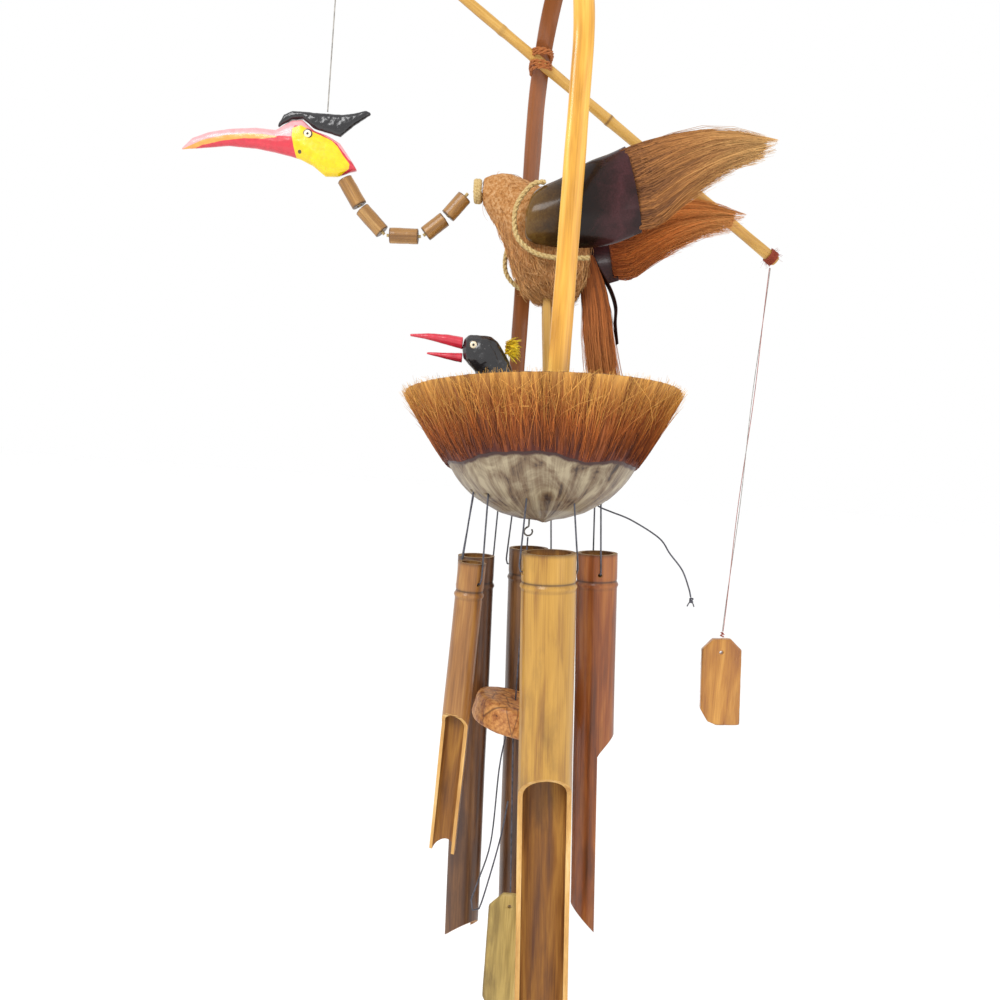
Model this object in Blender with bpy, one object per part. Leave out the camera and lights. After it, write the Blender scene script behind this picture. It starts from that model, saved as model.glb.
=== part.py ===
"""Bamboo and coconut wind chime with a bobbing hornbill on a see-saw stick.

The chime hangs from a cord loop on a bamboo hoop.  The hoop stands in a nest made from
half a coconut husk.  A husk bird stands in the nest and its head, on a neck of bamboo
beads, hangs from one end of a stick that rocks on the hoop; a slat balances the other
end.  Five bamboo tubes, a wooden clapper and a wind sail hang under the nest.

Frame: +Z up, +X to the viewer's right, +Y away from the viewer.  The origin is the top
of the cord loop, where the chime hangs.  Lengths are written in millimetres.
"""

import math

import bmesh
import bpy
from mathutils import Matrix, Vector

MM = 0.001
GAP = 0.3  # air between pieces that touch

# --- hanging loop and hoop ------------------------------------------------------------
LOOP_CORD = 2.6
LOOP_HALF_WIDTH = 10.0
HOOP_TOP = -45.0
HOOP_HEIGHT = 293.0  # from the nest's rim to the top of the hoop
HOOP_SPLIT = 5.0  # thickness of the split bamboo
HOOP_WIDTH = 14.0
HOOP_REAR_WIDTH = 12.0
HOOP_TURN = math.radians(10.5)  # plan angle of the hoop away from the Y axis
HOOP_ARCH_HEIGHT = 85.0
HOOP_ARCH_POWER = 1.11
HOOP_FOOT_DEPTH = 12.0  # how far the feet stand below the rim
HOOP_RIM_INSET = 18.0  # from the nest rim to the middle of the split bamboo

# --- nest ------------------------------------------------------------------------------
NEST_X = 7.0
NEST_RIM_Z = HOOP_TOP - HOOP_HEIGHT
NEST_RADIUS = 88.0
NEST_DEPTH = 89.0
NEST_WALL = 5.0
NEST_TAPER = 0.43
NEST_FRONT_UP = math.radians(7.0)
NEST_RIGHT_UP = math.radians(3.5)
NEST_FLOOR_Z = NEST_RIM_Z - NEST_DEPTH
COIR_DEPTH = 56.0
COIR_THICK = 10.0
NEST_SEGMENTS = 32

# --- bird ------------------------------------------------------------------------------
BIRD_Y = 15.0
LEG_DIA = 6.6
LEG_SPREAD = 20.0
SOCKET_PLAY = 0.4
BRAID_DIA = 4.0

# --- balance stick ---------------------------------------------------------------------
PIVOT_Z = -97.8
STICK_LEFT = Vector((-155.5, BIRD_Y, -10.0))  # where the head's string is tied
STICK_BALANCE = 1.352  # length right of the pivot over length left of it
STICK_OVERHANG = 5.0
STICK_DIA_LEFT = 7.0
STICK_DIA_RIGHT = 9.0
STICK_SHIFT = 1.6  # how far the stick's middle line passes beside the leg's
TIE_LENGTH = 6.0
TIE_WRAP = 1.4
LASHING_PLAY = 1.7  # room for the stick to rock in its lashing
LEG_PLAY = 1.2  # room round the hoop's leg in the lashing
LASHING_LENGTH = 16.0
LASHING_WRAP = 2.4

# --- head, neck and counterweight ------------------------------------------------------
HEAD_STRING_DIA = 0.9
CREST_TOP = Vector((-157.0, BIRD_Y, -156.0))
BEAD_DIA = 11.0
NECK_CORD = 2.2
NECK_CORD_PLAY = 0.5
WEIGHT_STRING_DIA = 1.3
WEIGHT_STRING_FALL = Vector((-11.0, 0.0, -302.5))
WEIGHT_WIDTH = 32.0
WEIGHT_HEIGHT = 71.0
WEIGHT_THICK = 7.0
WEIGHT_TURN = math.radians(-3.5)
KNOT_DIA = 4.4

# --- chime tubes, clapper and sail -----------------------------------------------------
RING_CENTRE = Vector((5.0, 0.0, 0.0))
CUP_DEPTH = 20.0
SEPTUM = 3.0
THREAD_DROP = 14.0  # from the tube's top to its thread holes
THREAD_DIA = 1.2
THREAD_PLAY = 1.0
THREAD_TUCK = 2.2  # how much closer together a tube's nest holes are than its sides
THREAD_INSET = 16.0  # from the coir's lower edge in to the ring of nest holes
TUBE_SEGMENTS = 24
CLAPPER_CENTRE = Vector((4.0, 0.0, NEST_FLOOR_Z - 140.0))
CLAPPER_RADIUS = 30.0
CLAPPER_THICK = 20.0
CLAPPER_TILT = math.radians(12.0)
CLAPPER_BORE = 4.0
HOOK_EYE_Z = NEST_FLOOR_Z - 9.0
HOOK_EYE_RADIUS = 3.0
HOOK_WIRE = 1.3
SAIL_TOP = CLAPPER_CENTRE + Vector((7.0, 0.0, -133.0))
SAIL_WIDTH = 30.0
SAIL_HEIGHT = 90.0
SAIL_THICK = 5.0

HUSK_BROWN = (0.58, 0.30, 0.10)
BAMBOO_GOLD = (0.80, 0.44, 0.06)
BAMBOO_BROWN = (0.30, 0.11, 0.03)
CANE = (0.58, 0.34, 0.09)
STRAW = (0.60, 0.46, 0.22)
NYLON = (0.07, 0.07, 0.09)


# --- scene helpers ---------------------------------------------------------------------
def clear_scene():
    """Remove every object and leave an empty scene."""
    for old in list(bpy.data.objects):
        bpy.data.objects.remove(old, do_unlink=True)


def paint(name, colour, roughness=0.6, metallic=0.0):
    """A Principled material of one colour."""
    material = bpy.data.materials.new(name)
    material.use_nodes = True
    shader = material.node_tree.nodes["Principled BSDF"]
    shader.inputs["Base Color"].default_value = (*colour, 1.0)
    shader.inputs["Roughness"].default_value = roughness
    shader.inputs["Metallic"].default_value = metallic
    return material


def add_object(name, data, colour, roughness=0.6, metallic=0.0):
    """Link a mesh or curve as the named piece with its own material."""
    data.materials.append(paint(name, colour, roughness, metallic))
    piece = bpy.data.objects.new(name, data)
    bpy.context.scene.collection.objects.link(piece)
    return piece


def close_bmesh(bm, name, smooth_angle=40.0):
    """Turn a bmesh into smooth-shaded mesh data in metres with its faces pointing out."""
    bmesh.ops.remove_doubles(bm, verts=bm.verts, dist=0.01)
    bmesh.ops.scale(bm, vec=(MM, MM, MM), verts=bm.verts)
    bmesh.ops.recalc_face_normals(bm, faces=bm.faces)
    mesh = bpy.data.meshes.new(name)
    bm.to_mesh(mesh)
    bm.free()
    mesh.shade_smooth()
    mesh.set_sharp_from_angle(angle=math.radians(smooth_angle))
    return mesh


def lathe(name, profile, segments=24, smooth_angle=40.0):
    """Turn an (r, z) profile about Z.  It closes on the axis or back on its start."""
    bm = bmesh.new()
    points = [bm.verts.new((r, 0.0, z)) for r, z in profile]
    edges = [bm.edges.new(pair) for pair in zip(points, points[1:])]
    if profile[0][0] > 0.0:
        edges.append(bm.edges.new((points[-1], points[0])))
    bmesh.ops.spin(bm, geom=points + edges, cent=(0, 0, 0), axis=(0, 0, 1),
                   angle=math.tau, steps=segments, use_merge=True)
    return close_bmesh(bm, name, smooth_angle)


def loft(name, rings, smooth_angle=40.0):
    """Skin equal rings of points and cap both ends."""
    bm = bmesh.new()
    loops = [[bm.verts.new(p) for p in ring] for ring in rings]
    for lower, upper in zip(loops, loops[1:]):
        for i in range(len(lower)):
            j = (i + 1) % len(lower)
            bm.faces.new((lower[i], lower[j], upper[j], upper[i]))
    bm.faces.new(loops[0])
    bm.faces.new(loops[-1])
    return close_bmesh(bm, name, smooth_angle)


def oval(centre, across, up, points=16, power=1.0):
    """A ring of points round centre, with two half-axes as vectors; power < 1 squares it."""
    ring = []
    for i in range(points):
        angle = math.tau * (i + 0.5) / points
        c, s = math.cos(angle), math.sin(angle)
        ring.append(Vector(centre) + Vector(across) * math.copysign(abs(c) ** power, c)
                    + Vector(up) * math.copysign(abs(s) ** power, s))
    return ring


def smooth_route(points, spacing):
    """Points about one spacing apart on a smooth curve through the given points."""
    knots = [Vector(p) for p in points]
    ends = [2 * knots[0] - knots[1], *knots, 2 * knots[-1] - knots[-2]]
    route = []
    for a, b, c, d in zip(ends, ends[1:], ends[2:], ends[3:]):
        steps = max(1, round((c - b).length / spacing))
        for i in range(steps):
            t = i / steps
            route.append(0.5 * (2 * b + (c - a) * t + (2 * a - 5 * b + 4 * c - d) * t ** 2
                                + (3 * b - a - 3 * c + d) * t ** 3))
    return [*route, knots[-1]]


def add_cord(name, route, diameter, colour, roughness=0.5, cyclic=False):
    """A round cord along the route, as a curve with a bevel."""
    curve = bpy.data.curves.new(name, "CURVE")
    curve.dimensions = "3D"
    spline = curve.splines.new("POLY")
    spline.points.add(len(route) - 1)
    for point, place in zip(spline.points, route):
        point.co = (*(Vector(place) * MM), 1.0)
    spline.use_cyclic_u = cyclic
    spline.use_smooth = True
    curve.bevel_depth = diameter / 2 * MM
    curve.bevel_resolution = 2
    curve.use_fill_caps = not cyclic
    return add_object(name, curve, colour, roughness)


def hinge_at(place, *pieces):
    """Put each piece's origin on its joint axis and leave the piece where it is."""
    for piece in pieces:
        piece.data.transform(Matrix.Translation(-Vector(place) * MM))
        piece.location = Vector(place) * MM


def rod_rings(start, end, radius_start, radius_end, count, points=12):
    """Rings of a straight tapered rod."""
    start, end = Vector(start), Vector(end)
    axis = (end - start).normalized()
    across = axis.cross(Vector((0, 0, 1)) if abs(axis.z) < 0.9 else Vector((0, 1, 0)))
    across.normalize()
    up = across.cross(axis)
    rings = []
    for i in range(count):
        t = i / (count - 1)
        radius = radius_start + (radius_end - radius_start) * t
        rings.append(oval(start.lerp(end, t), across * radius, up * radius, points))
    return rings


def add_rod(name, start, end, radius, colour, radius_end=None, count=2, points=12):
    """A round rod between two points."""
    rings = rod_rings(start, end, radius, radius_end or radius, count, points)
    return add_object(name, loft(name, rings), colour)


def sleeve_mesh(name, start, end, outer, inner, points=16):
    """A round pipe between two points."""
    start, end = Vector(start), Vector(end)
    length = (end - start).length
    mesh = lathe(name, [(inner, 0.0), (inner, length), (outer, length), (outer, 0.0)], points)
    turn = (end - start).to_track_quat("Z", "Y").to_matrix().to_4x4()
    mesh.transform(Matrix.Translation(start * MM) @ turn)
    return mesh


def add_cutter(name, mesh):
    """A hidden solid that is cut away from a piece."""
    cutter = bpy.data.objects.new(name, mesh)
    bpy.context.scene.collection.objects.link(cutter)
    cutter.hide_render = True
    cutter.display_type = "WIRE"
    return cutter


def cut(piece, cutter, operation="DIFFERENCE"):
    """Cut one solid from a piece with an exact Boolean."""
    modifier = piece.modifiers.new(cutter.name, "BOOLEAN")
    modifier.operation = operation
    modifier.object = cutter
    modifier.solver = "EXACT"


def bore(piece, name, start, end, radius, points=12):
    """Cut a round hole from start to end."""
    rings = rod_rings(start, end, radius, radius, 2, points)
    cut(piece, add_cutter(name, loft(name, rings)))


# --- nest surface ----------------------------------------------------------------------
NEST_PLACE = (Matrix.Translation(Vector((NEST_X, 0.0, NEST_RIM_Z)))
              @ Matrix.Rotation(-NEST_RIGHT_UP, 4, "Y")
              @ Matrix.Rotation(-NEST_FRONT_UP, 4, "X"))


def husk_radius(depth, inset=0.0):
    """Radius of the husk at a depth below its rim, inset from its outer face."""
    share = min(1.0, max(0.0, depth / (NEST_DEPTH - inset)))
    return (NEST_RADIUS - inset) * (1 - NEST_TAPER * share) * math.sqrt(1 - share ** 6)


def nest_height(x, y, inset=0.0):
    """World height of the husk's face over a place in plan."""
    back = NEST_PLACE.inverted()
    low, high = NEST_RIM_Z - 1.3 * NEST_DEPTH, NEST_RIM_Z
    for _ in range(40):
        middle = (low + high) / 2
        local = back @ Vector((x, y, middle))
        inside = math.hypot(local.x, local.y) < husk_radius(-local.z, inset) and (
            -local.z < NEST_DEPTH - inset)
        low, high = (low, middle) if inside else (middle, high)
    return (low + high) / 2


def rim_height(x, y):
    """World height of the rim's plane over a place in plan."""
    normal = NEST_PLACE.to_3x3() @ Vector((0, 0, 1))
    return NEST_RIM_Z - (normal.x * (x - NEST_X) + normal.y * y) / normal.z


def husk_profile(inset, first, last, count):
    """Points (r, z) down the husk's face between two depths, closer near the bottom."""
    low, high = math.asin(first / (NEST_DEPTH - inset)), math.asin(last / (NEST_DEPTH - inset))
    depths = [(NEST_DEPTH - inset) * math.sin(low + (high - low) * i / count)
              for i in range(count + 1)]
    return [(husk_radius(d, inset), -d) for d in depths]


def build_nest():
    """Husk bowl with its comb of coir; the bowl is bored later for threads and legs."""
    inner = husk_profile(NEST_WALL, 0.0, NEST_DEPTH - NEST_WALL, 9)
    outer = husk_profile(0.0, 0.0, NEST_DEPTH, 9)
    place = Matrix.Scale(MM, 4) @ NEST_PLACE @ Matrix.Scale(1 / MM, 4)
    mesh = lathe("nest_shell", outer[::-1] + inner, NEST_SEGMENTS, 50)
    mesh.transform(place)
    shell = add_object("nest_shell", mesh, (0.22, 0.17, 0.12), 0.5)
    face = husk_profile(0.0, 1.0, COIR_DEPTH, 5)
    inside = [(r + GAP, z) for r, z in face]
    outside = [(r + GAP + 0.6 + COIR_THICK * (1 + z / (COIR_DEPTH + 1)) ** 0.6, z)
               for r, z in face]
    mesh = lathe("nest_coir", inside + outside[::-1], NEST_SEGMENTS, 50)
    mesh.transform(place)
    add_object("nest_coir", mesh, (0.50, 0.24, 0.05), 0.9)
    return shell


# --- hoop and hanging loop -------------------------------------------------------------
HOOP_HALF_SPAN = NEST_RADIUS - HOOP_RIM_INSET
HOOP_CREST = HOOP_TOP - HOOP_SPLIT / 2
HOOP_SPRING = HOOP_CREST - HOOP_ARCH_HEIGHT  # height where the legs turn into the arch


def hoop_place(side, height):
    """World point in the hoop's plane: side is along the plane, away from the viewer."""
    return Vector((NEST_X - 6.5 - math.sin(HOOP_TURN) * side,
                   math.cos(HOOP_TURN) * side, height))


def hoop_side(height):
    """Half the hoop's span at a height."""
    rise = max(0.0, (height - HOOP_SPRING) / HOOP_ARCH_HEIGHT)
    return HOOP_HALF_SPAN * (1 - rise ** (2 / HOOP_ARCH_POWER)) ** (HOOP_ARCH_POWER / 2)


def build_hoop():
    """Split-bamboo strip bent into an arch, flat face inwards and rounded face outwards."""
    line = []
    for side in (-1, 1):
        foot = hoop_place(side * HOOP_HALF_SPAN, 0)
        bottom = rim_height(foot.x, foot.y) - HOOP_FOOT_DEPTH
        leg = [(side * HOOP_HALF_SPAN, bottom + (HOOP_SPRING - bottom) * i / 6)
               for i in range(6)]
        arch = []
        for i in range(12):
            angle = math.pi / 2 * i / 12
            arch.append((side * HOOP_HALF_SPAN * math.cos(angle) ** HOOP_ARCH_POWER,
                         HOOP_SPRING + HOOP_ARCH_HEIGHT * math.sin(angle) ** HOOP_ARCH_POWER))
        branch = leg + arch
        line += branch if side < 0 else [(0.0, HOOP_CREST)] + branch[::-1]
    middles = [hoop_place(*p) for p in line]
    across = Vector((math.cos(HOOP_TURN), math.sin(HOOP_TURN), 0.0))
    rings = []
    for i, middle in enumerate(middles):
        along = (middles[min(i + 1, len(middles) - 1)] - middles[max(i - 1, 0)]).normalized()
        out = along.cross(across).normalized()
        if out.dot(middle - Vector((middle.x, 0, HOOP_SPRING - 40))) < 0:
            out = -out
        share = i / (len(middles) - 1)
        half = (HOOP_WIDTH + (HOOP_REAR_WIDTH - HOOP_WIDTH) * share) / 2
        ring = [middle - out * HOOP_SPLIT / 2 - across * half,
                middle - out * HOOP_SPLIT / 2 + across * half]
        for turn in (0.0, 0.25, 0.5, 0.75, 1.0):
            angle = math.pi * turn
            ring.append(middle + across * half * math.cos(angle)
                        + out * HOOP_SPLIT * (0.5 * math.sin(angle) + 0.02))
        rings.append(ring)
    add_object("hoop", loft("hoop", rings, 50), BAMBOO_GOLD, 0.35)


def build_hanging_loop():
    """Cord tied round the top of the hoop, with the eye that the chime hangs from."""
    low = HOOP_CREST - HOOP_SPLIT / 2 - LOOP_CORD / 2 - GAP - 0.2
    wide = LOOP_HALF_WIDTH
    top = -LOOP_CORD / 2
    right = [(0.0, low), (0.7 * wide, low + 0.3), (wide, low + 4), (wide, HOOP_TOP + 3),
             (0.45 * wide, HOOP_TOP + 14), (0.55 * wide, top - 14), (0.5 * wide, top - 4),
             (0.0, top)]
    outline = right + [(-x, z) for x, z in right[-2:0:-1]]
    centre = hoop_place(0.0, 0.0).x
    knots = [Vector((centre + x, 0.0, z)) for x, z in outline]
    route = smooth_route([*knots, knots[0]], 5.0)[:-1]
    add_cord("hanger_loop", route, LOOP_CORD, STRAW, 0.8, cyclic=True)


# --- bird ------------------------------------------------------------------------------
def slab(x, top, bottom, half, y=BIRD_Y):
    """Oval section across X between two heights."""
    return oval((x, y, (top + bottom) / 2), (0, half, 0), (0, 0, (top - bottom) / 2), 16, 0.85)


BODY_SLABS = [(-45, -193, -210, 8), (-40, -189.5, -217, 12), (-34, -188, -224.5, 17),
              (-26, -188.5, -239, 22), (-20, -190.5, -254, 26), (-12, -193.5, -268, 29),
              (-3, -197, -275, 31), (8, -202, -277, 31), (18, -209, -276, 28),
              (26, -219, -270, 22), (31, -230, -258, 13)]
HEAD_SLABS = [(-257, -186.4, -187.6, 1.0), (-250, -179, -186.6, 2.2),
              (-239, -174.5, -185, 3.5), (-225, -171.3, -182.9, 4.5),
              (-206, -169.2, -183.3, 5.4), (-192, -169.8, -185, 6.0),
              (-181, -162.5, -187, 6.4), (-174, -161.5, -188.8, 6.5),
              (-165, -168.5, -192.5, 6.5), (-156, -170.9, -199.2, 6.2),
              (-147, -175.5, -198.6, 5.6), (-139, -185.8, -195, 4.8),
              (-134.5, -192.4, -193.6, 3.0)]
CREST_SLABS = [(-190.5, -165.5, -168, 1.6), (-187, -158.6, -165.4, 2.6),
               (-181, -156, -161.9, 3.4), (-174, -156, -160.9, 3.6),
               (-165, -156, -167.4, 3.6), (-157, -156, -169.2, 3.4),
               (-147, -156, -171.4, 3.2), (-138, -154.5, -163, 2.8),
               (-130, -152, -157, 2.2), (-127, -153.5, -155, 1.2)]
WING_RIBS = [((-14, -218), (-14.5, -228), 4), ((-9, -206), (-12, -238), 8),
             ((8, -196), (2, -241.5), 11), ((24, -185), (26, -241), 12),
             ((38, -178.5), (45, -237), 11), ((48, -173), (64, -228), 9)]
WING_FACE = 34.5  # from the bird's middle plane to the wing's edge
WING_SHELL = 3.0
WING_COIR_RIBS = [((50.5, -174), (66, -229.5), 8), ((77, -165), (88, -207), 8),
                  ((98, -160), (103, -194), 7), ((120, -159), (122, -181), 5),
                  ((137, -161), (138, -174), 2.5)]
FAR_WING_DROP = Vector((-4.0, 0.0, -16.0))
FAR_WING_TURN = math.radians(6.0)
BRAID_ROUTE = [(-3, -200), (-12, -203), (-21, -218), (-19.5, -236), (-8, -246),
               (8, -249), (30, -247.5)]


def wing_matrix(side):
    """The near wing is drawn in place; the far one is its mirror, lower and turned."""
    if side < 0:
        return Matrix.Identity(4)
    mirror = (Matrix.Translation(Vector((0, BIRD_Y, 0))) @ Matrix.Scale(-1, 4, (0, 1, 0))
              @ Matrix.Translation(Vector((0, -BIRD_Y, 0))))
    root = Vector((0, 0, -215))
    turn = (Matrix.Translation(root) @ Matrix.Rotation(FAR_WING_TURN, 4, "Y")
            @ Matrix.Translation(-root))
    return Matrix.Translation(FAR_WING_DROP) @ turn @ mirror


def build_wing(side, word):
    """Dished shell, the coir fan behind it and the braid round its root."""
    place = wing_matrix(side)
    edge = BIRD_Y - WING_FACE
    rings = []
    for (x1, z1), (x2, z2), bulge in WING_RIBS:
        inner, outer = [], []
        for i in range(7):
            t = i / 6
            rise = bulge * math.sin(math.pi * t) ** 0.8 if 0 < i < 6 else 0.0
            spot = Vector((x1 + (x2 - x1) * t, edge - rise, z1 + (z2 - z1) * t))
            inner.append(place @ spot)
            outer.append(place @ (spot + Vector((0, -WING_SHELL, 0))))
        rings.append(inner + outer[::-1])
    name = f"wing_shell_{word}"
    add_object(name, loft(name, rings, 35), (0.06, 0.025, 0.015), 0.12)
    rings = []
    for (x1, z1), (x2, z2), half in WING_COIR_RIBS:
        centre = Vector(((x1 + x2) / 2, edge - 6, (z1 + z2) / 2))
        up = Vector(((x1 - x2) / 2, 0, (z1 - z2) / 2))
        rings.append([place @ p for p in oval(centre, (0, half, 0), up, 14, 0.8)])
    name = f"wing_coir_{word}"
    add_object(name, loft(name, rings), (0.42, 0.16, 0.04), 0.9)
    knots = [place @ Vector((x, edge - 2, z)) for x, z in BRAID_ROUTE]
    add_cord(f"wing_braid_{word}", smooth_route(knots, 9.0), BRAID_DIA, STRAW, 0.85)


def build_tail():
    """Coir tail that trails into the nest, with a strip of shell over it."""
    bundle = [(41.5, -262, 4.6, 9), (40.5, -275, 9.5, 11), (43.5, -295, 9.5, 12),
              (48.0, -316, 10, 13), (54.0, -338, 10, 13)]
    rings = [oval((x, BIRD_Y + 3, z), (half, 0, 0), (0, deep, 0), 14, 0.85)
             for x, z, half, deep in bundle]
    add_object("tail_coir", loft("tail_coir", rings), (0.30, 0.12, 0.04), 0.9)
    strip = [(35.0, -240), (41.5, -250), (49.5, -262), (54.3, -274), (55.0, -286), (57.5, -300)]
    rings = []
    for i, (x, z) in enumerate(strip):
        half = 12.0 - 5.0 * abs(i - 2) / 3
        rings.append(oval((x, BIRD_Y + 3, z), (0.95, 0, 0.6), (0, half, 0), 10, 0.8))
    add_object("tail_shell", loft("tail_shell", rings), (0.05, 0.02, 0.015), 0.2)


LEG_TOP = Vector((5.0, BIRD_Y, -272.0))
LEG_LEAN = Vector((0.083, 0.0, -1.0))


def build_body_and_legs(shell):
    """Husk body on two stick legs that stand in sockets in the body and the nest."""
    body = add_object("bird_body", loft("bird_body", [slab(*s) for s in BODY_SLABS], 60),
                      HUSK_BROWN, 0.95)
    for side, word in ((-1, "front"), (1, "rear")):
        top = LEG_TOP + Vector((0, side * LEG_SPREAD / 2, 0))
        drop = top.z - nest_height(top.x + 12, top.y, NEST_WALL) + 2.0
        foot = top + LEG_LEAN * drop
        add_rod(f"bird_leg_{word}", top, foot, LEG_DIA / 2, CANE, count=3)
        hole = LEG_DIA / 2 + SOCKET_PLAY
        bore(body, f"leg_socket_{word}", top - LEG_LEAN * GAP, top + LEG_LEAN * 40, hole)
        bore(shell, f"leg_foot_{word}", foot - LEG_LEAN * 14, foot + LEG_LEAN * GAP, hole)
    collar = lathe("neck_collar", [(6.3 + 2.9 * math.cos(math.tau * i / 8),
                                    3.0 * math.sin(math.tau * i / 8)) for i in range(8)], 16)
    turn = Matrix.Rotation(math.radians(90), 4, "Y")
    collar.transform(Matrix.Translation(Vector((-48.6, BIRD_Y, -201.4)) * MM) @ turn)
    add_object("neck_collar", collar, STRAW, 0.85)


# --- chick -----------------------------------------------------------------------------
CHICK_Y = -20.0


def build_chick(shell):
    """Carved chick in the nest: head and neck, open bill and a dyed tuft."""
    rim = NEST_RIM_Z
    levels = [(34, -46.5, -31, 4), (31, -49.5, -26.5, 8), (25, -50.6, -22.5, 10),
              (18, -49.5, -17.5, 10.5), (10, -41, -14.5, 10.5), (-12, -36, -12, 11),
              (-34, -33, -11, 10), (-50, -29, -14, 7)]
    rings = [oval(((x1 + x2) / 2, CHICK_Y, rim + z), ((x2 - x1) / 2, 0, 0), (0, half, 0), 14, 0.9)
             for z, x1, x2, half in levels]
    foot = Vector((-21.0, CHICK_Y, 0.0))
    floor = nest_height(foot.x, foot.y, NEST_WALL) - 2.0
    for z in (rim - 51.0, floor):
        rings.append(oval((foot.x, CHICK_Y, z), (4.2, 0, 0), (0, 4.2, 0), 14))
    add_object("chick_head", loft("chick_head", rings), (0.012, 0.012, 0.014), 0.3)
    bore(shell, "chick_socket", (foot.x, CHICK_Y, floor + 12), (foot.x, CHICK_Y, floor - GAP),
         4.2 + SOCKET_PLAY)
    bills = {"upper": [(-51.3, 28.2, 4.2, 4.2), (-62, 29.8, 3.6, 3.4), (-75, 31, 2.2, 2.2),
                       (-87, 31.1, 0.8, 0.8)],
             "lower": [(-51.0, 18.4, 3.4, 3.8), (-60, 18.8, 2.4, 3.0), (-68, 19.4, 1.5, 2.0),
                       (-75, 19.8, 0.7, 0.8)]}
    for word, spots in bills.items():
        rings = [oval((x, CHICK_Y, rim + z), (0, half, 0), (0, 0, tall), 10)
                 for x, z, tall, half in spots]
        name = f"chick_bill_{word}"
        add_object(name, loft(name, rings), (0.70, 0.03, 0.05), 0.35)
    spots = [(-21.6, 28.5, 4.2, 4.0), (-16, 27.5, 6.2, 5.2), (-10.5, 25.4, 4.4, 3.6),
             (-8.5, 24.8, 1.5, 1.2)]
    rings = [oval((x, CHICK_Y, rim + z), (0, half, 0), (0, 0, tall), 10)
             for x, z, tall, half in spots]
    add_object("chick_tuft", loft("chick_tuft", rings), (0.85, 0.66, 0.02), 0.8)


# --- balance stick ---------------------------------------------------------------------
def pivot_place():
    """Middle of the stick where it crosses in front of the hoop's rear leg."""
    leg = hoop_place(hoop_side(PIVOT_Z), PIVOT_Z)
    share = 1 / (1 + STICK_BALANCE)
    radius = (STICK_DIA_LEFT + (STICK_DIA_RIGHT - STICK_DIA_LEFT) * share) / 2
    reach = HOOP_SPLIT / 2 + LEG_PLAY + radius + LASHING_PLAY + GAP
    return leg + Vector((-STICK_SHIFT, -reach, 0))


PIVOT = pivot_place()
STICK_RIGHT = PIVOT + (PIVOT - STICK_LEFT) * STICK_BALANCE


def tie_drop(radius):
    """How far under the stick's middle line the outside of a tie reaches, straight down."""
    line = (STICK_RIGHT - STICK_LEFT).normalized()
    return (radius + GAP + TIE_WRAP) / math.hypot(line.x, line.y) + 2 * GAP


def stick_radius(place):
    """Stick radius at a point near its line."""
    share = (place - STICK_LEFT).length / (STICK_RIGHT - STICK_LEFT).length
    return (STICK_DIA_LEFT + (STICK_DIA_RIGHT - STICK_DIA_LEFT) * share) / 2


def build_stick():
    """Cane stick that rocks in its lashing, with a thread tie near each end."""
    axes = {"left": (STICK_LEFT - PIVOT).normalized(), "right": (STICK_RIGHT - PIVOT).normalized()}
    start = STICK_LEFT + axes["left"] * STICK_OVERHANG
    end = STICK_RIGHT + axes["right"] * STICK_OVERHANG
    rings = rod_rings(start, PIVOT, STICK_DIA_LEFT / 2, stick_radius(PIVOT), 8)
    rings += rod_rings(PIVOT, end, stick_radius(PIVOT), STICK_DIA_RIGHT / 2, 10)[1:]
    hinge_at(PIVOT, add_object("balance_stick", loft("balance_stick", rings), CANE, 0.5))
    for word, spot in (("left", STICK_LEFT), ("right", STICK_RIGHT)):
        half = axes[word] * TIE_LENGTH / 2
        radius = stick_radius(spot) + GAP
        name = f"stick_tie_{word}"
        mesh = sleeve_mesh(name, spot - half, spot + half, radius + TIE_WRAP, radius, 14)
        hinge_at(PIVOT, add_object(name, mesh, (0.30, 0.08, 0.04), 0.7))


def build_lashing():
    """Raffia binding that ties the stick to the hoop's rear leg and lets it rock."""
    leg = hoop_place(hoop_side(PIVOT.z), PIVOT.z)
    stick = (STICK_RIGHT - STICK_LEFT).normalized()
    half_x = HOOP_REAR_WIDTH / 2 + LASHING_WRAP + 1.0
    front = PIVOT.y - STICK_DIA_RIGHT / 2 - LASHING_PLAY - LASHING_WRAP
    back = leg.y + HOOP_SPLIT / 2 + LASHING_WRAP + 3.0
    rings = []
    for z in (-LASHING_LENGTH / 2, LASHING_LENGTH / 2):
        slope = 0.18 * z
        middle = Vector((leg.x, (front + back) / 2 - slope, PIVOT.z + z))
        rings.append(oval(middle, (half_x, 0, 0), (0, (back - front) / 2, 0), 16, 0.6))
    piece = add_object("pivot_lashing", loft("pivot_lashing", rings), (0.35, 0.15, 0.04), 0.85)
    reach = 20.0
    bore(piece, "lashing_stick_hole", PIVOT - stick * reach, PIVOT + stick * reach,
         STICK_DIA_RIGHT / 2 + LASHING_PLAY, 14)
    across = Vector((math.cos(HOOP_TURN), math.sin(HOOP_TURN), 0.0))
    rings = []
    for z in (-LASHING_LENGTH, 0.0, LASHING_LENGTH):
        height = PIVOT.z + z
        middle = hoop_place(hoop_side(height), height)
        out = Vector((-across.y, across.x, 0.0)) * (HOOP_SPLIT / 2 + LEG_PLAY)
        wide = across * (HOOP_REAR_WIDTH / 2 + 0.9)
        rings.append([middle - wide - out, middle + wide - out, middle + wide + out,
                      middle - wide + out])
    cut(piece, add_cutter("lashing_leg_hole", loft("lashing_leg_hole", rings)))


# --- head and neck ---------------------------------------------------------------------
NECK_PIVOTS = [(-55.0, -202.5), (-69.5, -221.0), (-85.5, -235.2), (-111.5, -236.2),
               (-130.0, -218.3), (-143.5, -198.2)]
NECK_GAPS = [4.2, 1.4, 2.7, 3.0, 1.4, 1.8]
CORD_GAP = 1.0


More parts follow.
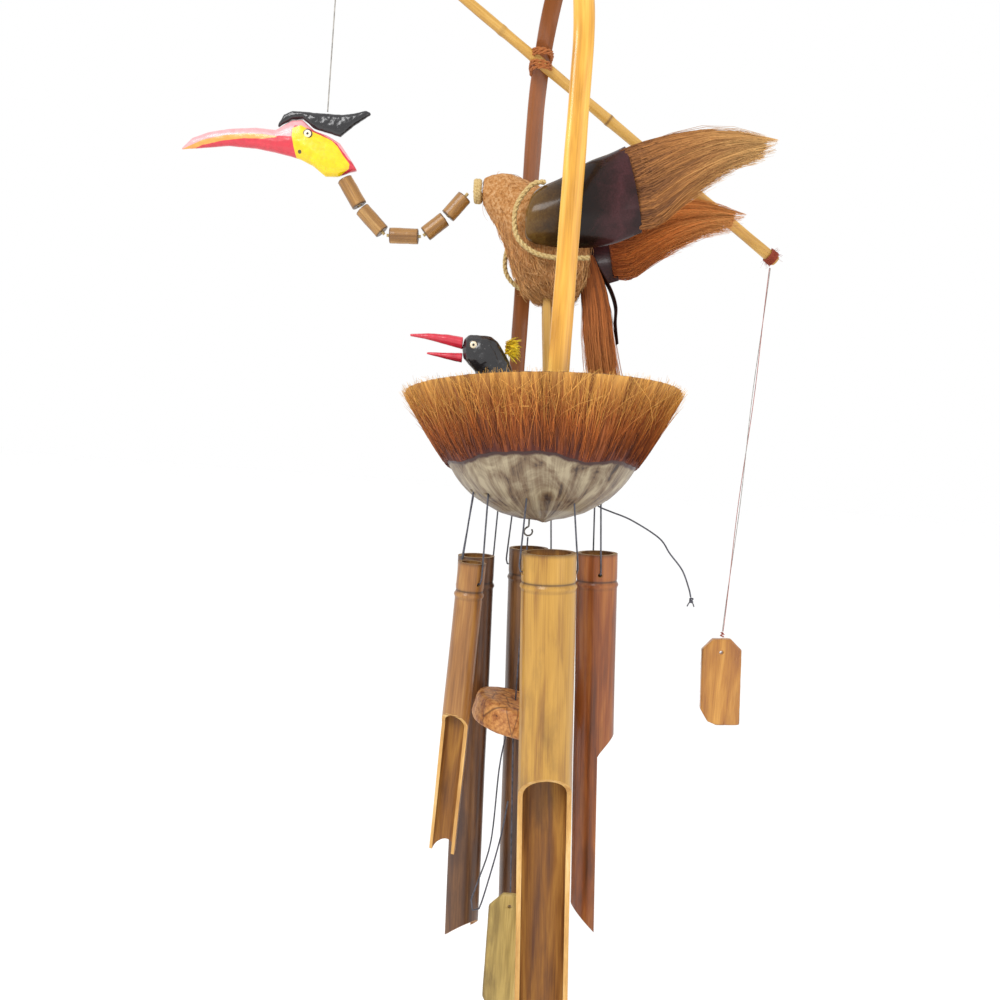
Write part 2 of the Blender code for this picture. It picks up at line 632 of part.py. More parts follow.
def build_neck():
    """Bamboo beads on a cord; each bead turns on the next where the cord bends."""
    pivots = [Vector((x, BIRD_Y, z)) for x, z in NECK_PIVOTS]
    for i in range(5):
        a, b = pivots[i], pivots[i + 1]
        along = (b - a).normalized()
        name = f"neck_bead_{i + 1}"
        mesh = sleeve_mesh(name, a + along * NECK_GAPS[i], b - along * NECK_GAPS[i + 1],
                           BEAD_DIA / 2, NECK_CORD / 2 + NECK_CORD_PLAY, 16)
        bead = add_object(name, mesh, (0.42, 0.20, 0.06), 0.4)
        cord = add_rod(f"neck_cord_{i + 1}", a + along * CORD_GAP, b - along * CORD_GAP,
                       NECK_CORD / 2, STRAW, points=8)
        hinge_at(a, bead, cord)


def build_head():
    """Carved and painted head with its long bill, and the black crest on top."""
    head = add_object("bird_head", loft("bird_head", [slab(*s) for s in HEAD_SLABS]),
                      (0.85, 0.62, 0.02), 0.35)
    crest = add_object("head_crest", loft("head_crest", [slab(*s) for s in CREST_SLABS]),
                       (0.012, 0.012, 0.014), 0.25)
    nape_x, nape_z = NECK_PIVOTS[-1]
    hinge_at((nape_x, BIRD_Y, nape_z), head, crest)
    tie = STICK_LEFT - Vector((0, 0, tie_drop(STICK_DIA_LEFT / 2) + HEAD_STRING_DIA / 2))
    foot = CREST_TOP + Vector((0, 0, 1.2))
    hinge_at(tie, add_rod("head_string", tie, foot, HEAD_STRING_DIA / 2, NYLON, points=8))


def slat_mesh(name, width, height, thick, chamfer):
    """Bamboo slat with chamfered shoulders and a rounded foot, its top edge at the origin."""
    half = width / 2
    outline = [(-half + chamfer, 0), (half - chamfer, 0), (half, -chamfer), (half, -height),
               (-0.1 * width, -height), (-0.32 * width, -height + 0.09 * width),
               (-half, -height + 0.4 * width), (-half, -chamfer)]
    bm = bmesh.new()
    face = bm.faces.new([bm.verts.new((x, -thick / 2, z)) for x, z in outline])
    grown = bmesh.ops.extrude_face_region(bm, geom=[face])
    moved = [v for v in grown["geom"] if isinstance(v, bmesh.types.BMVert)]
    bmesh.ops.translate(bm, verts=moved, vec=(0, thick, 0))
    return close_bmesh(bm, name)


def build_counterweight():
    """String and slat on the stick's right end."""
    tie = STICK_RIGHT - Vector((0, 0, tie_drop(STICK_DIA_RIGHT / 2) + WEIGHT_STRING_DIA / 2))
    foot = STICK_RIGHT + WEIGHT_STRING_FALL
    down = (foot - tie).normalized()
    string = add_rod("weight_string", tie, foot - down * (KNOT_DIA / 2 + GAP),
                     WEIGHT_STRING_DIA / 2, NYLON, points=8)
    knot = lathe("weight_knot", [(0, -KNOT_DIA / 2), (KNOT_DIA / 2.6, -KNOT_DIA / 4),
                                 (KNOT_DIA / 2.3, KNOT_DIA / 8), (KNOT_DIA / 5, KNOT_DIA / 2),
                                 (0, KNOT_DIA / 2)], 10)
    knot.transform(Matrix.Translation(foot * MM))
    hinge_at(tie, string, add_object("weight_knot", knot, NYLON, 0.6))
    mesh = slat_mesh("counterweight", WEIGHT_WIDTH, WEIGHT_HEIGHT, WEIGHT_THICK, 9.0)
    top = foot + down * (KNOT_DIA / 2 + 1.0)
    mesh.transform(Matrix.Translation(top * MM) @ Matrix.Rotation(WEIGHT_TURN, 4, "Y"))
    slat = add_object("counterweight", mesh, (0.50, 0.24, 0.05), 0.35)
    hinge_at(foot, slat)
    hole = top + Vector((0, 0, -11.0))
    bore(slat, "counterweight_hole", hole - Vector((0, 9, 0)), hole + Vector((0, 9, 0)), 1.6, 8)


# --- chime tubes -----------------------------------------------------------------------
# word: bearing in the ring, gap to the clapper, drop under the nest, foot offset in X,
#       diameter, wall, length, scoop drop, facing, end slant
TUBES = {
    "a": (220.1, 9.96, 29.0, -7.0, 19.4, 2.6, 207.0, 103.0, 250.0, 16.0),
    "b": (132.8, 10.49, 34.0, 8.0, 28.0, 3.0, 297.0, 150.0, 131.0, 22.0),
    "c": (87.8, 7.04, 27.0, 13.0, 30.0, 3.0, 300.0, 150.0, 81.0, 22.0),
    "d": (283.0, 5.37, 16.0, 21.0, 36.0, 3.2, 357.0, 146.0, 272.0, 24.0),
    "e": (4.7, 4.81, 21.0, 17.0, 28.7, 3.0, 281.0, 130.0, 4.0, 28.0),
}
THREAD_ENTRY = 2.0  # how far a thread stands inside the nest


def tube_top(word):
    """Centre of a tube's top, and unit vectors away from the ring's centre and round it."""
    bearing, gap, drop, _, dia = TUBES[word][:5]
    bearing = math.radians(bearing)
    out = Vector((math.cos(bearing), math.sin(bearing), 0))
    top = RING_CENTRE + out * (CLAPPER_RADIUS + gap + dia / 2)
    top.z = NEST_FLOOR_Z - drop
    return top, out, Vector((-out.y, out.x, 0))


def build_tube(word, shell):
    """Bamboo tube with a cup over its node, a scoop cut away below and its thread."""
    foot_x, dia, wall, length, scoop, facing, slant = TUBES[word][3:]
    top = tube_top(word)[0]
    outer, inner = dia / 2, dia / 2 - wall
    node = CUP_DEPTH + SEPTUM / 2
    profile = [(0, -CUP_DEPTH), (inner, -CUP_DEPTH), (inner, 0), (outer, 0),
               (outer, -node + 4), (outer + 0.9, -node + 1.2), (outer + 0.9, -node - 1.2),
               (outer, -node - 4), (outer, -length), (inner, -length),
               (inner, -CUP_DEPTH - SEPTUM), (0, -CUP_DEPTH - SEPTUM)]
    name = f"tube_{word}"
    mesh = lathe(name, profile, TUBE_SEGMENTS)
    lean = math.atan2(-foot_x, length)
    place = Matrix.Translation(top * MM) @ Matrix.Rotation(lean, 4, "Y")
    mesh.transform(place)
    tube = add_object(name, mesh, BAMBOO_BROWN, 0.4)
    # The scoop takes away the outer half of the wall from a slanting shoulder down.
    turn = Matrix.Rotation(math.radians(facing), 4, "Z")
    wide = outer + 2
    side = [(outer + 3, -scoop + 3), (0.05 * outer, -scoop - 0.95 * outer),
            (0.05 * outer, -length - 2), (outer + 3, -length - 2)]
    rings = [[(x, y, z) for x, z in side] for y in (-wide, wide)]
    cutter = loft(f"scoop_{word}", rings)
    cutter.transform(place @ turn)
    cut(tube, add_cutter(f"scoop_{word}", cutter))
    # The foot is sawn on a slant that rises towards the back of the tube.
    side = [(-outer - 3, -length + slant), (outer + 3, -length - slant * 0.3),
            (outer + 3, -length - 30), (-outer - 3, -length - 30)]
    rings = [[(x, y, z) for x, z in side] for y in (-wide, wide)]
    cutter = loft(f"foot_cut_{word}", rings)
    cutter.transform(place @ turn)
    cut(tube, add_cutter(f"foot_cut_{word}", cutter))
    build_thread(word, shell, tube)


def build_thread(word, shell, tube):
    """One thread: down from the nest, through both walls of the tube and up again."""
    foot_x, dia, _, length = TUBES[word][3:7]
    top, out, along = tube_top(word)
    outer = dia / 2
    middle = top + Vector((foot_x, 0, -length)).normalized() * THREAD_DROP
    reach = outer + 2.2
    ring = husk_radius(COIR_DEPTH) - THREAD_INSET
    knots, holes = [], []
    for side in (-1, 1):
        hole = RING_CENTRE + out * ring + along * side * (outer - THREAD_TUCK)
        hole.z = nest_height(hole.x, hole.y, NEST_WALL) + THREAD_ENTRY
        holes.append(hole)
        edge = middle + along * side * reach
        run = (edge - hole).normalized()
        branch = [hole, hole.lerp(edge, 0.5), edge - run * 4.0,
                  middle + along * side * (outer + 1.0) + Vector((0, 0, 0.8)),
                  middle + along * side * (outer - 4.0)]
        knots += branch if side < 0 else branch[::-1]
        bore(shell, f"nest_hole_{word}_{side + 1}", hole - run * 6, hole + run * 14,
             THREAD_DIA / 2 + THREAD_PLAY, 8)
    thread = add_cord(f"thread_{word}", smooth_route(knots, 5.0), THREAD_DIA, NYLON)
    hinge_at((holes[0] + holes[1]) / 2, thread)
    hinge_at(middle, tube)
    bore(tube, f"tube_hole_{word}", middle - along * (outer + 4), middle + along * (outer + 4),
         THREAD_DIA / 2 + THREAD_PLAY, 10)


# --- clapper and sail ------------------------------------------------------------------
SLACK_ROUTE = [(-5, -3, -15), (-8, -4, -40), (-10, -4, -93), (-17, -4, -123), (-21, -4, -138),
               (-19.5, -4, -145.5), (-15, -4, -144), (-9, -4, -119), (-3, -4, -88), (0, -3.5, -63)]


def build_clapper(shell):
    """Wire hook in the nest's floor, string, wooden clapper and the wind sail under it."""
    x, y = CLAPPER_CENTRE.x, CLAPPER_CENTRE.y
    top = nest_height(x, y, NEST_WALL) + THREAD_ENTRY
    shank = HOOK_EYE_Z + HOOK_EYE_RADIUS
    knots = [(x, y, top), (x, y, (top + shank) / 2), (x, y, shank + 0.6)]
    eye = []
    for i in range(1, 10):
        angle = math.pi / 2 + math.tau * i / 10.6
        eye.append((x + HOOK_EYE_RADIUS * math.cos(angle), y + 0.12 * i,
                    HOOK_EYE_Z + HOOK_EYE_RADIUS * math.sin(angle)))
    hook = add_cord("clapper_hook", smooth_route([*knots, *eye], 2.2), HOOK_WIRE,
                    (0.2, 0.18, 0.16))
    hinge_at((x, y, top - THREAD_ENTRY), hook)
    bore(shell, "hook_hole", (x, y, top + 6), (x, y, top - 14), THREAD_DIA / 2 + THREAD_PLAY + 0.3, 10)
    low = HOOK_EYE_Z - HOOK_EYE_RADIUS - HOOK_WIRE / 2 - GAP
    half = CLAPPER_THICK / 2
    foot = CLAPPER_CENTRE.z - half - 1.5
    string = add_rod("clapper_string", (x, y, low), (x, y, foot), THREAD_DIA / 2, NYLON,
                     points=8)
    radius, soft = CLAPPER_RADIUS, 4.0
    mesh = lathe("clapper", [(0, half), (radius - soft, half), (radius - 1.2, half - 1.2),
                             (radius, half - soft), (radius, soft - half),
                             (radius - 1.2, 1.2 - half), (radius - soft, -half), (0, -half)], 32)
    mesh.transform(Matrix.Translation(CLAPPER_CENTRE * MM)
                   @ Matrix.Rotation(CLAPPER_TILT, 4, "Y"))
    disc = add_object("clapper", mesh, (0.55, 0.25, 0.06), 0.6)
    bore(disc, "clapper_way", (x, y, CLAPPER_CENTRE.z + 2 * half),
         (x, y, CLAPPER_CENTRE.z - 2 * half), CLAPPER_BORE / 2, 12)
    hinge_at((x, y, HOOK_EYE_Z - HOOK_EYE_RADIUS), string, disc)
    start = Vector((x, y, foot - GAP - 0.6))
    string = add_rod("sail_string", start, SAIL_TOP + Vector((0, 0, 1.0)), THREAD_DIA / 2, NYLON,
                     points=8)
    mesh = slat_mesh("wind_sail", SAIL_WIDTH, SAIL_HEIGHT, SAIL_THICK, 10.0)
    mesh.transform(Matrix.Translation(SAIL_TOP * MM))
    sail = add_object("wind_sail", mesh, (0.48, 0.34, 0.12), 0.6)
    hole = SAIL_TOP + Vector((0, 0, -9.0))
    bore(sail, "sail_hole", hole - Vector((0, 9, 0)), hole + Vector((0, 9, 0)), 1.6, 8)
    knots = [CLAPPER_CENTRE + Vector(k) for k in SLACK_ROUTE]
    slack = add_cord("slack_thread", smooth_route(knots, 6.0), THREAD_DIA, NYLON)
    hinge_at((x, y, foot - GAP), string, sail, slack)


LOOSE_ROUTE = [(49, 30, 14), (56, 30, 9.5), (65, 30, 6.5), (80, 30, 1.5), (101, 30, -10),
               (110, 30, -21), (120, 30, -32.5), (126, 30, -45.5), (128, 30, -52)]


def build_loose_thread(shell):
    """Spare thread that sticks out of the nest and ends in a knot."""
    route = [Vector((x, y, NEST_FLOOR_Z + z)) for x, y, z in LOOSE_ROUTE]
    way = (route[1] - route[0]).normalized()
    add_cord("loose_thread", smooth_route(route, 3.4), THREAD_DIA, NYLON)
    knot = lathe("loose_knot", [(0, 2.2), (1.3, 1.4), (1.6, 0.0), (1.2, -1.6), (0, -2.2)], 10)
    end = route[-1] + Vector((0.6, 0, -2.2 - GAP))
    knot.transform(Matrix.Translation(end * MM))
    add_object("loose_knot", knot, NYLON, 0.6)
    bore(shell, "loose_hole", route[0] - way * 8, route[0] + way * 8, THREAD_DIA / 2 + THREAD_PLAY, 8)


def main():
    """Build every piece of the chime."""
    clear_scene()
    shell = build_nest()
    build_hoop()
    build_hanging_loop()
    build_body_and_legs(shell)
    for side, word in ((-1, "near"), (1, "far")):
        build_wing(side, word)
    build_tail()
    build_chick(shell)
    build_stick()
    build_lashing()
    build_neck()
    build_head()
    build_counterweight()
    for word in TUBES:
        build_tube(word, shell)
    build_clapper(shell)
    build_loose_thread(shell)


main()
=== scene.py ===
"""Looks of a bamboo and coconut wind chime with a bobbing bird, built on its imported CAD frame.

Lengths in the classes are millimetres unless a name says otherwise; MM turns them to metres.
"""
import logging
import math
from collections.abc import Callable, Iterator
from contextlib import contextmanager
from dataclasses import dataclass, field
from enum import Enum
from functools import partial

import bmesh
import bpy
import numpy as np
from mathutils import Matrix, Vector, noise


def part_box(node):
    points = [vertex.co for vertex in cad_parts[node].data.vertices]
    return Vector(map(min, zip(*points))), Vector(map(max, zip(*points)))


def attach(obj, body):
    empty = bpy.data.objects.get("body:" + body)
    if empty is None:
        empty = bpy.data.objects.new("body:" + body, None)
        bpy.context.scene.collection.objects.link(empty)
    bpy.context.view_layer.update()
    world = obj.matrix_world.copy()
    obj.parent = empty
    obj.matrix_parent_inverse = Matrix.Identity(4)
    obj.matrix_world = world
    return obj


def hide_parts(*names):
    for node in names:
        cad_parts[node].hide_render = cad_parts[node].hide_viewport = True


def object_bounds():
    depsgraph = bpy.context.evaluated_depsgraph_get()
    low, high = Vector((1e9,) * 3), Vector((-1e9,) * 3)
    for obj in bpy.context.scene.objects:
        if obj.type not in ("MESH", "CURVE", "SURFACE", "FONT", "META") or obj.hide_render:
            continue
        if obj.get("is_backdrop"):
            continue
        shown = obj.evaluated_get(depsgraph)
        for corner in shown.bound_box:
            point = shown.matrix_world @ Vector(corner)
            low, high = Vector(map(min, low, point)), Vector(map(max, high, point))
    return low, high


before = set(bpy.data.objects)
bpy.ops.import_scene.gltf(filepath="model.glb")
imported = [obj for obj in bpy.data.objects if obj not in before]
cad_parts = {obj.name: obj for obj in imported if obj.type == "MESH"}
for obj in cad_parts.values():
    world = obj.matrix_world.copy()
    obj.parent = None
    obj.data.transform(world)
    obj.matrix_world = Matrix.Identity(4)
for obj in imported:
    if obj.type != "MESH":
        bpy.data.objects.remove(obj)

MM = 0.001
SEED = 20
ROOT = "nest_and_hoop"  # the CAD body that hangs from the loop
EYE_SUNK = 0.3  # how far an eye's middle lies under the cheek
log = logging.getLogger("wind_chime")
Points = list[tuple[float, float, float]]
Adder = Callable[..., bpy.types.Node]  # add_node bound to one material's tree


class Side(Enum):
    """Which side of the bird's middle plane a wing is on."""

    NEAR = "near"
    FAR = "far"


class Slot(Enum):
    """Material slots of the record."""

    STRAW = "cord_straw"
    HOOP = "bamboo_golden"
    NEST = "coconut_shell"
    COIR = "coir"
    HUSK = "husk"
    SHELL = "shell_dark"
    CANE = "cane"
    RAFFIA = "raffia"
    TIE = "tie_thread"
    NYLON = "nylon"
    BEAD = "bead_bamboo"
    HEAD = "head_paint"
    BLACK = "black_paint"
    RED = "red_paint"
    TUFT = "dyed_tuft"
    TUBE = "bamboo_brown"
    CLAPPER = "clapper_wood"
    WEIGHT = "weight_bamboo"
    SAIL = "sail_bamboo"
    WIRE = "wire"


# --- colour and nodes --------------------------------------------------------------------
def linear(colour: str) -> tuple[float, float, float, float]:
    """Turn an sRGB hex colour to linear.

    Args:
        colour: six hex digits with a leading hash.

    Returns:
        Linear red, green, blue and an alpha of 1.
    """
    parts = [int(colour[i:i + 2], 16) / 255 for i in (1, 3, 5)]
    return (*[p / 12.92 if p <= 0.04045 else ((p + 0.055) / 1.055) ** 2.4 for p in parts], 1.0)


def cells(across: float, along: float | None = None) -> float | tuple[float, float, float]:
    """Scale of a pattern from the size of its cells.

    Args:
        across: a cell's size in millimetres.
        along: its length along Z in millimetres, where it is drawn out.

    Returns:
        One scale, or one for each axis.
    """
    wide = 1 / (across * MM)
    return wide if along is None else (wide, wide, 1 / (along * MM))


def plug(node: bpy.types.Node, links: dict) -> None:
    """Feed a node's inputs from values, sockets or the first outputs of nodes."""
    for place, value in links.items():
        if isinstance(value, bpy.types.Node):
            value = value.outputs[0]
        if isinstance(value, bpy.types.NodeSocket):
            node.id_data.links.new(value, node.inputs[place])
        else:
            node.inputs[place].default_value = value


def add_node(tree: bpy.types.NodeTree, kind: str, links: dict | None = None,
             stops: list[tuple[float, str]] | None = None,
             **settings: object) -> bpy.types.Node:
    """Add a node with its settings, input values and links.

    Args:
        tree: the node tree to add to.
        kind: the node's type, without its ShaderNode prefix.
        links: input name or index to a value, or to the socket or node that feeds it.
        stops: places from 0 to 1 and their sRGB colours, for a node with a colour band.
        settings: attributes of the node.

    Returns:
        The new node.
    """
    made = tree.nodes.new("ShaderNode" + kind)
    for name, value in settings.items():
        setattr(made, name, value)
    plug(made, links or {})
    for i, (place, colour) in enumerate(stops or []):
        band = made.color_ramp.elements
        stop = band[i] if i < len(band) else band.new(place)
        stop.position = place
        stop.color = linear(colour)
    return made


# --- finishes ----------------------------------------------------------------------------
@dataclass(frozen=True)
class Finish:
    """A surface: what it is made of and how it was worked."""

    name: str
    roughness: float = 0.6
    coat: float = 0.0
    coat_roughness: float = 0.1

    def material(self) -> bpy.types.Material:
        """Make the material, or return the one already made under this name."""
        if self.name in bpy.data.materials:
            return bpy.data.materials[self.name]
        made = bpy.data.materials.new(self.name)
        made.use_nodes = True
        shader = made.node_tree.nodes["Principled BSDF"]
        shader.inputs["Roughness"].default_value = self.roughness
        shader.inputs["Coat Weight"].default_value = self.coat
        shader.inputs["Coat Roughness"].default_value = self.coat_roughness
        self.dress(partial(add_node, made.node_tree), shader)
        return made

    def dress(self, add: Adder, shader: bpy.types.Node) -> None:
        """Add the nodes that colour and roughen the surface."""
        raise NotImplementedError


@dataclass(frozen=True)
class Grained(Finish):
    """Bamboo and cane: long fibres under a varnished skin, so streaks follow the stem.

    The attribute stem holds the place on the straightened stem, and joint is 1 on its nodes.
    """

    dark: str = "#5A2E10"
    middle: str = "#8F5A22"
    light: str = "#C08A3A"
    scorch: str = "#3A1C0A"
    scorched: float = 0.5
    # colour of the part of the stem that is made browner
    joint_colour: str = "#3A2210"
    brown_tone: str = "#7A4420"
    fibre: float = 0.8
    streak: float = 45.0
    bump: float = 0.25

    def dress(self, add: Adder, shader: bpy.types.Node) -> None:
        """Fibres, long streaks, scorched patches and dark joint rings."""
        stem = add("Attribute", attribute_name="stem").outputs["Vector"]
        joint = add("Attribute", attribute_name="joint").outputs["Fac"]
        fine = add("Mapping", {0: stem, "Scale": cells(self.fibre, self.streak)})
        fibres = add("TexNoise", {"Vector": fine, "Scale": 1.0, "Detail": 4.0, "Roughness": 0.6})
        wide = add("Mapping", {0: stem, "Scale": cells(7.692, 71.43)})
        streaks = add("TexNoise", {"Vector": wide, "Scale": 1.0, "Detail": 3.0, "Distortion": 0.4})
        mixed = add("Math", {0: fibres, 1: 0.42, 2: streaks}, operation="MULTIPLY_ADD")
        spread = add("MapRange", {0: mixed, 1: 0.48, 2: 0.95})
        body = add("ValToRGB", {0: spread}, stops=[
            (0.0, self.dark), (0.5, self.middle), (1.0, self.light)])
        patch = add("Mapping", {0: stem, "Scale": cells(26.32, 90.91)})
        patches = add("TexNoise", {
            "Vector": patch, "Scale": 1.0, "Detail": 6.0, "Roughness": 0.65})
        burnt = add("MapRange", {0: patches, 1: 0.52, 2: 0.72, 3: 0.0, 4: self.scorched})
        toned = add("Mix", {0: burnt, 6: body, 7: linear(self.scorch)}, data_type="RGBA")
        # the attribute read here marks a part of the stem that is browner; on the hoop this is its
        # rear half, past the crest
        age = add("Attribute", attribute_name="age").outputs["Fac"]
        value = add("MapRange", {0: spread, 3: 0.7, 4: 1.25})
        browner = add("HueSaturation", {"Color": linear(self.brown_tone), "Value": value})
        tone_shifted = add("Mix", {0: age, 6: toned.outputs[2], 7: browner}, data_type="RGBA")
        ringed = add("Mix", {
            0: joint, 6: tone_shifted.outputs[2], 7: linear(self.joint_colour)}, data_type="RGBA")
        plug(shader, {"Base Color": ringed.outputs[2]})
        rough = add("MapRange", {
            0: streaks, 1: 0.3, 2: 0.7, 3: self.roughness * 0.75,
            4: self.roughness * 1.3})
        plug(shader, {"Roughness": rough})
        raised = add("Bump", {"Height": fibres, "Strength": self.bump, "Distance": 0.3 * MM})
        plug(shader, {"Normal": raised})


@dataclass(frozen=True)
class Fibrous(Finish):
    """Combed coconut fibre: dull strands that pale towards their dry tips.

    The attribute along runs from 0 at a strand's root to 1 at its tip, and shade differs
    from strand to strand.
    """

    root: str = "#5A2810"
    middle: str = "#9A5A20"
    tip: str = "#C98F3C"
    spread: float = 0.45

    def dress(self, add: Adder, shader: bpy.types.Node) -> None:
        """Root to tip colours, made lighter or darker strand by strand."""
        along = add("Attribute", attribute_name="along").outputs["Fac"]
        shade = add("Attribute", attribute_name="shade").outputs["Fac"]
        moved = add("Math", {0: shade, 1: 0.5, 2: along}, operation="MULTIPLY_ADD")
        place = add("MapRange", {0: moved, 1: 0.15, 2: 1.3})
        body = add("ValToRGB", {0: place}, stops=[
            (0.0, self.root), (0.5, self.middle), (1.0, self.tip)])
        value = add("MapRange", {0: shade, 3: 1.0 - self.spread, 4: 1.0 + self.spread * 0.7})
        toned = add("HueSaturation", {"Color": body, "Value": value, "Saturation": 1.0})
        plug(shader, {"Base Color": toned})


@dataclass(frozen=True)
class Husk(Finish):
    """Rough coconut husk: corky pith with short broken fibres lying in it."""

    pale: str = "#D3A878"
    tan: str = "#B37A40"
    brown: str = "#6E421C"
    seam_z: float = -0.232

    def dress(self, add: Adder, shader: bpy.types.Node) -> None:
        """Corky grain above, longer darker fibres towards the belly."""
        spot = add("TexCoord").outputs["Object"]
        cork = add("TexNoise", {
            "Vector": spot, "Scale": cells(2.381), "Detail": 6.0, "Roughness": 0.7})
        pores = add("TexVoronoi", {"Vector": spot, "Scale": cells(1.613)})
        lay = add("Mapping", {0: spot, "Rotation": (0.0, 0.5, 0.0), "Scale": cells(1.111, 11.11)})
        strands = add("TexNoise", {"Vector": lay, "Scale": 1.0, "Detail": 5.0, "Distortion": 0.8})
        height = add("SeparateXYZ", {0: spot}).outputs[2]
        low = add("MapRange", {0: height, 1: self.seam_z + 0.012, 2: self.seam_z - 0.022})
        grain = add("Mix", {0: low, 2: cork, 3: strands})
        picked = add("MapRange", {0: grain, 1: 0.28, 2: 0.68})
        body = add("ValToRGB", {0: picked}, stops=[
            (0.0, self.brown), (0.45, self.tan), (1.0, self.pale)])
        share = add("Math", {0: low, 1: 0.3}, operation="MULTIPLY")
        shaded = add("Mix", {
            0: share, 6: body, 7: linear("#9A6A38")}, data_type="RGBA",
            blend_type="MULTIPLY")
        plug(shader, {"Base Color": shaded.outputs[2]})
        rough = add("Math", {0: pores, 1: 0.6, 2: grain}, operation="MULTIPLY_ADD")
        raised = add("Bump", {"Height": rough, "Strength": 0.7, "Distance": 0.9 * MM})
        plug(shader, {"Normal": raised})


@dataclass(frozen=True)
class ScrapedShell(Finish):
    """Scraped and oiled coconut shell: grey-tan streaks that run down to the point.

    The attribute stem holds (bearing, radius, depth) scaled to metres round the bowl.
    """

    pale: str = "#8A7A60"
    tan: str = "#6E5840"
    brown: str = "#35241A"
    bleached: str = "#A39478"
    stained: str = "#3A150C"
    streak: float = 3.5

    def dress(self, add: Adder, shader: bpy.types.Node) -> None:
        """Long streaks with stained patches and fine scratches."""
        stem = add("Attribute", attribute_name="stem").outputs["Vector"]
        long = add("Mapping", {0: stem, "Scale": cells(self.streak, 45.45)})
        streaks = add("TexNoise", {
            "Vector": long, "Scale": 1.0, "Detail": 6.0, "Roughness": 0.65,
            "Distortion": 0.6})
        patches = add("TexNoise", {
            "Vector": stem, "Scale": cells(16.67), "Detail": 6.0, "Roughness": 0.6,
            "Distortion": 1.0})
        mixed = add("Math", {0: patches, 1: 1.5, 2: streaks}, operation="MULTIPLY_ADD")
        picked = add("MapRange", {0: mixed, 1: 0.98, 2: 1.5})
        body = add("ValToRGB", {0: picked}, stops=[
            (0.0, self.brown), (0.32, self.tan), (0.7, self.pale), (1.0, self.bleached)])
        stain = add("Attribute", attribute_name="stain").outputs["Fac"]
        ragged = add("Math", {0: streaks, 1: 0.9, 2: stain}, operation="MULTIPLY_ADD")
        soaked = add("MapRange", {0: ragged, 1: 0.7, 2: 1.05})
        stained = add("Mix", {0: soaked, 6: body, 7: linear(self.stained)}, data_type="RGBA")
        plug(shader, {"Base Color": stained.outputs[2]})
        raised = add("Bump", {"Height": streaks, "Strength": 0.35, "Distance": 0.5 * MM})
        plug(shader, {"Normal": raised})


@dataclass(frozen=True)
class LacqueredShell(Finish):
    """Coconut shell polished and lacquered: near black, with brown and violet in it."""

    root: str = "#7C6230"
    middle: str = "#120D0A"
    edge: str = "#4E2A30"
    root_x: float = -0.012
    edge_x: float = 0.064
    shine: float = 0.2

    def dress(self, add: Adder, shader: bpy.types.Node) -> None:
        """Mottled colour from the root to the trailing edge under a clear coat."""
        spot = add("TexCoord").outputs["Object"]
        across = add("SeparateXYZ", {0: spot}).outputs[0]
        blot = add("TexNoise", {
            "Vector": spot, "Scale": cells(11.11), "Detail": 5.0, "Roughness": 0.6,
            "Distortion": 0.7})
        speck = add("TexNoise", {"Vector": spot, "Scale": cells(1.111), "Detail": 3.0})
        shifted = add("Math", {0: blot, 1: 0.030, 2: across}, operation="MULTIPLY_ADD")
        place = add("MapRange", {0: shifted, 1: self.root_x + 0.012, 2: self.edge_x + 0.012})
        body = add("ValToRGB", {0: place}, stops=[
            (0.0, self.root), (0.22, "#4E3B1E"), (0.42, self.middle), (0.62, "#24130F"),
            (0.82, self.edge), (1.0, "#2C1618")])
        toned = add("Mix", {
            0: speck, 6: body, 7: linear("#7A5A48")}, data_type="RGBA",
            blend_type="SOFT_LIGHT")
        plug(shader, {"Base Color": toned.outputs[2]})
        shader.inputs["Specular IOR Level"].default_value = self.shine
        raised = add("Bump", {"Height": blot, "Strength": 0.25, "Distance": 0.6 * MM})
        plug(shader, {"Normal": raised})


@dataclass(frozen=True)
class Paint(Finish):
    """Brushed gloss enamel on carved wood, in one colour or in masked zones.

    Each zone is an attribute from 0 to 1 that lays its colour over the ones before it.
    """

    ground: str = "#FFE000"
    zones: tuple[tuple[str, str], ...] = ()
    wear: str = "#B98A50"
    worn: float = 0.0
    bump: float = 0.25

    def dress(self, add: Adder, shader: bpy.types.Node) -> None:
        """Zones laid in turn, brush marks in the gloss and small chips."""
        spot = add("TexCoord").outputs["Object"]
        marks = add("TexNoise", {
            "Vector": spot, "Scale": cells(3.846), "Detail": 5.0, "Distortion": 0.5})
        colour = add("ValToRGB", {0: marks}, stops=[(0.3, self.ground), (0.7, self.ground)])
        for attribute, zone in self.zones:
            mask = add("Attribute", attribute_name=attribute)
            ragged = add("Math", {
                0: marks, 1: 0.35, 2: mask.outputs["Fac"]},
                operation="MULTIPLY_ADD")
            edge = add("MapRange", {0: ragged, 1: 0.55, 2: 0.75})
            laid = add("Mix", {0: edge, 6: colour, 7: linear(zone)}, data_type="RGBA")
            colour = laid.outputs[2]
        value = add("MapRange", {0: marks, 1: 0.3, 2: 0.7, 3: 0.86, 4: 1.08})
        toned = add("HueSaturation", {"Color": colour, "Value": value})
        chips = add("TexNoise", {"Vector": spot, "Scale": cells(1.429), "Detail": 2.0})
        bare = add("MapRange", {0: chips, 1: 0.68, 2: 0.74, 3: 0.0, 4: self.worn})
        final = add("Mix", {0: bare, 6: toned, 7: linear(self.wear)}, data_type="RGBA")
        plug(shader, {"Base Color": final.outputs[2]})
        raised = add("Bump", {"Height": marks, "Strength": self.bump, "Distance": 0.5 * MM})
        plug(shader, {"Normal": raised})


